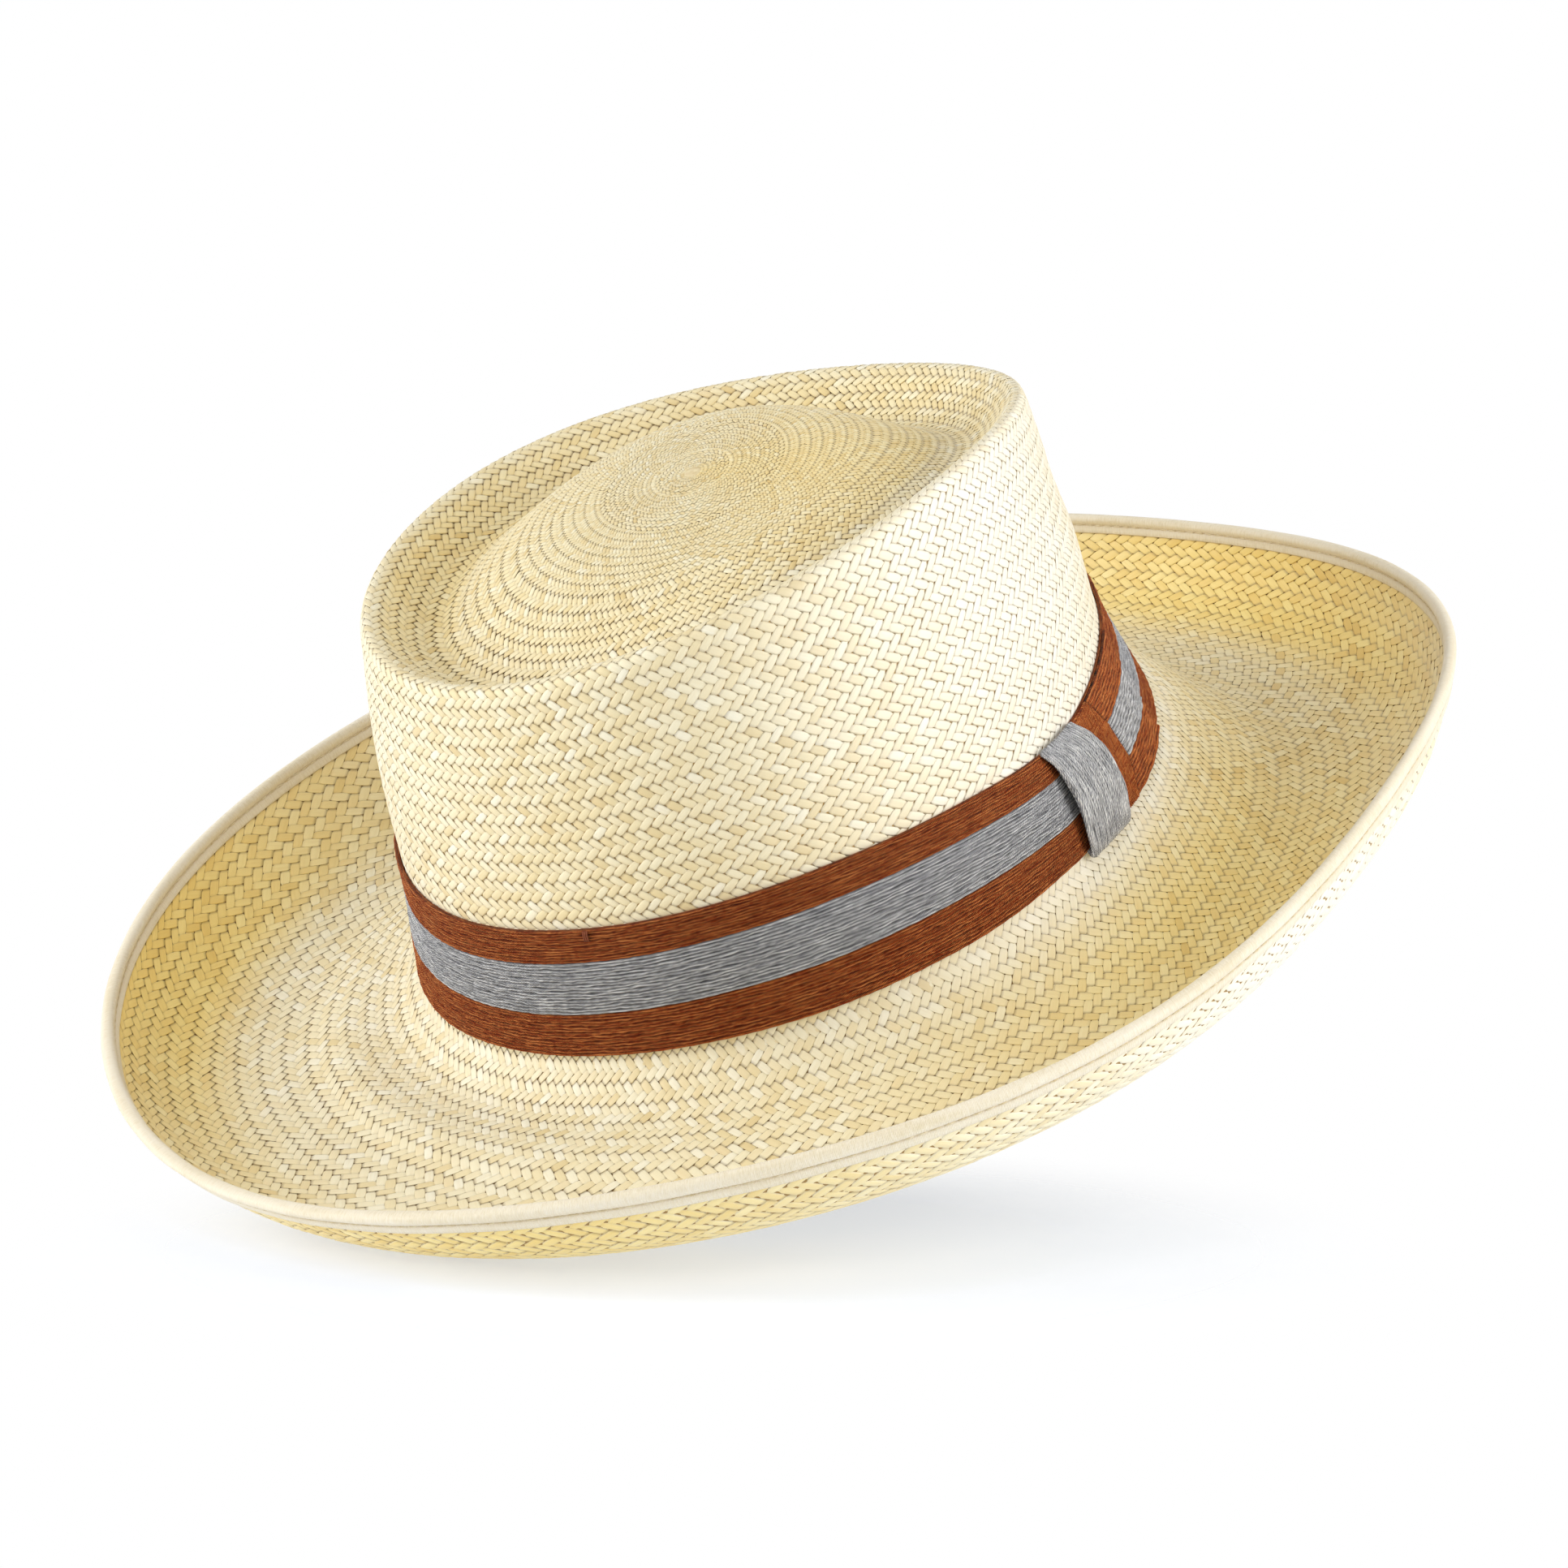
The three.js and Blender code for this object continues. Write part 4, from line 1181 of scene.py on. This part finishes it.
def add_camera():
    """Places the camera and returns it with its right, up and back directions."""
    azimuth, elevation, roll = map(math.radians, (31.6877, 27.7434, -16.3539))
    distance, target = 1241.9243, np.array([0, 0, 40.0])            # mm
    swing_right, swing_up = 0.005819743, -0.01971369                # aim off the target
    toward = np.array([math.sin(azimuth) * math.cos(elevation),
                       -math.cos(azimuth) * math.cos(elevation), math.sin(elevation)])
    level = np.array([math.cos(azimuth), math.sin(azimuth), 0.0])
    upright = np.cross(toward, level)
    rolled_right = math.cos(roll) * level + math.sin(roll) * upright
    rolled_up = -math.sin(roll) * level + math.cos(roll) * upright
    aim = unit(-toward + swing_right * rolled_right + swing_up * rolled_up)
    right = unit(rolled_right - rolled_right.dot(aim) * aim)
    up = np.cross(right, aim)
    right, up, back = tilt(right), tilt(up), tilt(-aim)
    place_at = (tilt(toward * distance + target) + np.array([SHIFT_X, SHIFT_Y, LIFT])) * 1e-3
    data = bpy.data.cameras.new("camera")
    ob = add_to_scene("camera", data)
    ob.matrix_world = Matrix([*np.column_stack([right, up, back, place_at]).tolist(),
                              [0, 0, 0, 1]])
    data.sensor_width = 36.0
    data.lens = 121.2030839
    data.clip_start, data.clip_end = 0.05, 50
    bpy.context.scene.camera = ob
    return ob, Vector(right), Vector(up), Vector(back)


camera, RIGHT, UP, BACK = add_camera()

# ------------------------------------------------------------------ floor (metres)
CENTRE = Vector((0.0, 0.0, 0.055))
FLOOR_PITCH = math.radians(8)           # the floor's lean toward the camera
FLOOR_DROP = 0.0004                     # floor below the lowest point of the brim
FLOOR_NORMAL = (UP * math.cos(FLOOR_PITCH) + BACK * math.sin(FLOOR_PITCH)).normalized()
FLOOR_X = (RIGHT - FLOOR_NORMAL * RIGHT.dot(FLOOR_NORMAL)).normalized()
FLOOR_Y = FLOOR_NORMAL.cross(FLOOR_X)


def lowest_point():
    """The brim's lowest reach along the floor's normal."""
    lows = []
    for ob in bpy.context.scene.objects:
        if ob.type == "MESH" and ob.name.startswith(("straw_brim", "edge_binding")):
            points = np.zeros(len(ob.data.vertices) * 3, np.float32)
            ob.data.vertices.foreach_get("co", points)
            lows.append(float((points.reshape(-1, 3) @ np.array(FLOOR_NORMAL)).min()))
    return min(lows)


def floor_material(low):
    """White paper, lightly glowing, that fades out beyond the hat's shadow."""
    paper = new_material("floor_paper")
    coords = paper.node("ShaderNodeTexCoord").outputs["Object"]
    grain = paper.noise(coords, scale=60)
    paper.set_main(Base_Color=paper.ramp(grain, (0.3, (0.90, 0.90, 0.90, 1)),
                                         (0.7, (0.93, 0.93, 0.93, 1))), Roughness=0.9)
    glow = paper.node("ShaderNodeEmission", {"Color": (1.05, 1.14, 1.29, 1), "Strength": 1.0})
    lit = paper.mix_shader(0.40, paper.main.outputs[0], glow.outputs[0])

    # the fade's centre: where a ray from the camera, given by its slopes, meets the floor
    slope_right, slope_up = -0.01322148, -0.08747702
    fade_x, fade_y = 0.150, 0.105               # half axes
    ray = (-BACK + RIGHT * slope_right + UP * slope_up).normalized()
    eye = Vector(tuple(camera.matrix_world.translation))
    reach = (low - FLOOR_DROP - eye.dot(FLOOR_NORMAL)) / ray.dot(FLOOR_NORMAL)
    offset = paper.vector_math("SUBTRACT", coords, eye + ray * reach).outputs[0]
    squares = []
    for axis in (FLOOR_X / fade_x, FLOOR_Y / fade_y):
        part = paper.vector_math("DOT_PRODUCT", offset, axis).outputs["Value"]
        squares.append(paper.math("MULTIPLY", part, part))
    radius = paper.math("SQRT", paper.math("ADD", *squares))
    fade = paper.node("ShaderNodeMapRange", {
        "Value": radius, "From Min": 0.45, "From Max": 1.05},
        interpolation_type="SMOOTHSTEP").outputs[0]
    camera_ray = paper.node("ShaderNodeLightPath").outputs["Is Camera Ray"]
    backfacing = paper.node("ShaderNodeNewGeometry").outputs["Backfacing"]
    clear = paper.math("MAXIMUM", backfacing, paper.math("MULTIPLY", fade, camera_ray))
    nothing = paper.node("ShaderNodeBsdfTransparent").outputs[0]
    paper.output(paper.mix_shader(clear, lit, nothing))
    return paper.owner


def add_floor():
    """A disc of three rings under the hat."""
    low = lowest_point()
    sides = 96
    origin = CENTRE - FLOOR_NORMAL * (CENTRE.dot(FLOOR_NORMAL) - low + FLOOR_DROP)
    verts = [tuple(origin)]
    for radius in (0.25, 0.5, 0.9):
        for i in range(sides):
            turn = 2 * PI * i / sides
            verts.append(tuple(origin + FLOOR_X * (radius * math.cos(turn))
                               + FLOOR_Y * (radius * math.sin(turn))))
    faces = [(0, 1 + i, 1 + (i + 1) % sides) for i in range(sides)]
    for k in range(2):
        for i in range(sides):
            this, following = 1 + k * sides + i, 1 + k * sides + (i + 1) % sides
            faces.append((this, this + sides, following + sides, following))
    mesh = bpy.data.meshes.new("floor")
    mesh.from_pydata(verts, [], faces)
    mesh.update()
    ob = add_to_scene("floor", mesh)
    mesh.materials.append(floor_material(low))


# ------------------------------------------------------------------ light
def add_world():
    """White to the camera, dimmer as a light."""
    world = bpy.data.worlds.new("world")
    bpy.context.scene.world = world
    sky = Nodes(world, main="Background")
    sky.set_main(Color=(1, 1, 1, 1), Strength=0.51)
    seen = sky.node("ShaderNodeBackground", {"Color": (1, 1, 1, 1), "Strength": 1.0})
    camera_ray = sky.node("ShaderNodeLightPath").outputs["Is Camera Ray"]
    sky.output(sky.mix_shader(camera_ray, sky.main.outputs[0], seen.outputs[0]))


# name, direction along the camera's right, up and back, size, power
LIGHTS = [
    ("key_right_low", 1.0, 0.05, 0.30, 0.6, 3.9),
    ("key_right_high", 1.0, 0.35, 0.30, 0.6, 5.6),
    ("fill_left_low", -1.0, 0.10, 0.10, 0.6, 4.3),
    ("fill_left_high", -1.0, 0.45, 0.10, 0.6, 4.2),
    ("fill_left_front", -1.0, 0.10, 0.80, 0.6, 1.7),
    ("fill_front", 0.0, 0.30, 1.0, 0.6, 1.8),
    ("top_soft", 0.0, 0.885, 0.40, 0.5, 1.7)]
LIGHT_DISTANCE = 1.25


def add_light(name, right, up, back, size, power):
    light = bpy.data.lights.new(name, "AREA")
    light.shape = "SQUARE"
    light.size = size
    light.energy = power
    ob = add_to_scene(name, light)
    ob.visible_camera = False
    direction = (RIGHT * right + UP * up + BACK * back).normalized()
    ob.location = CENTRE + direction * LIGHT_DISTANCE
    ob.rotation_euler = (CENTRE - ob.location).to_track_quat("-Z", "Y").to_euler()


add_floor()
add_world()
for entry in LIGHTS:
    add_light(*entry)

view = bpy.context.scene.view_settings
view.view_transform = "Standard"
view.look = "None"
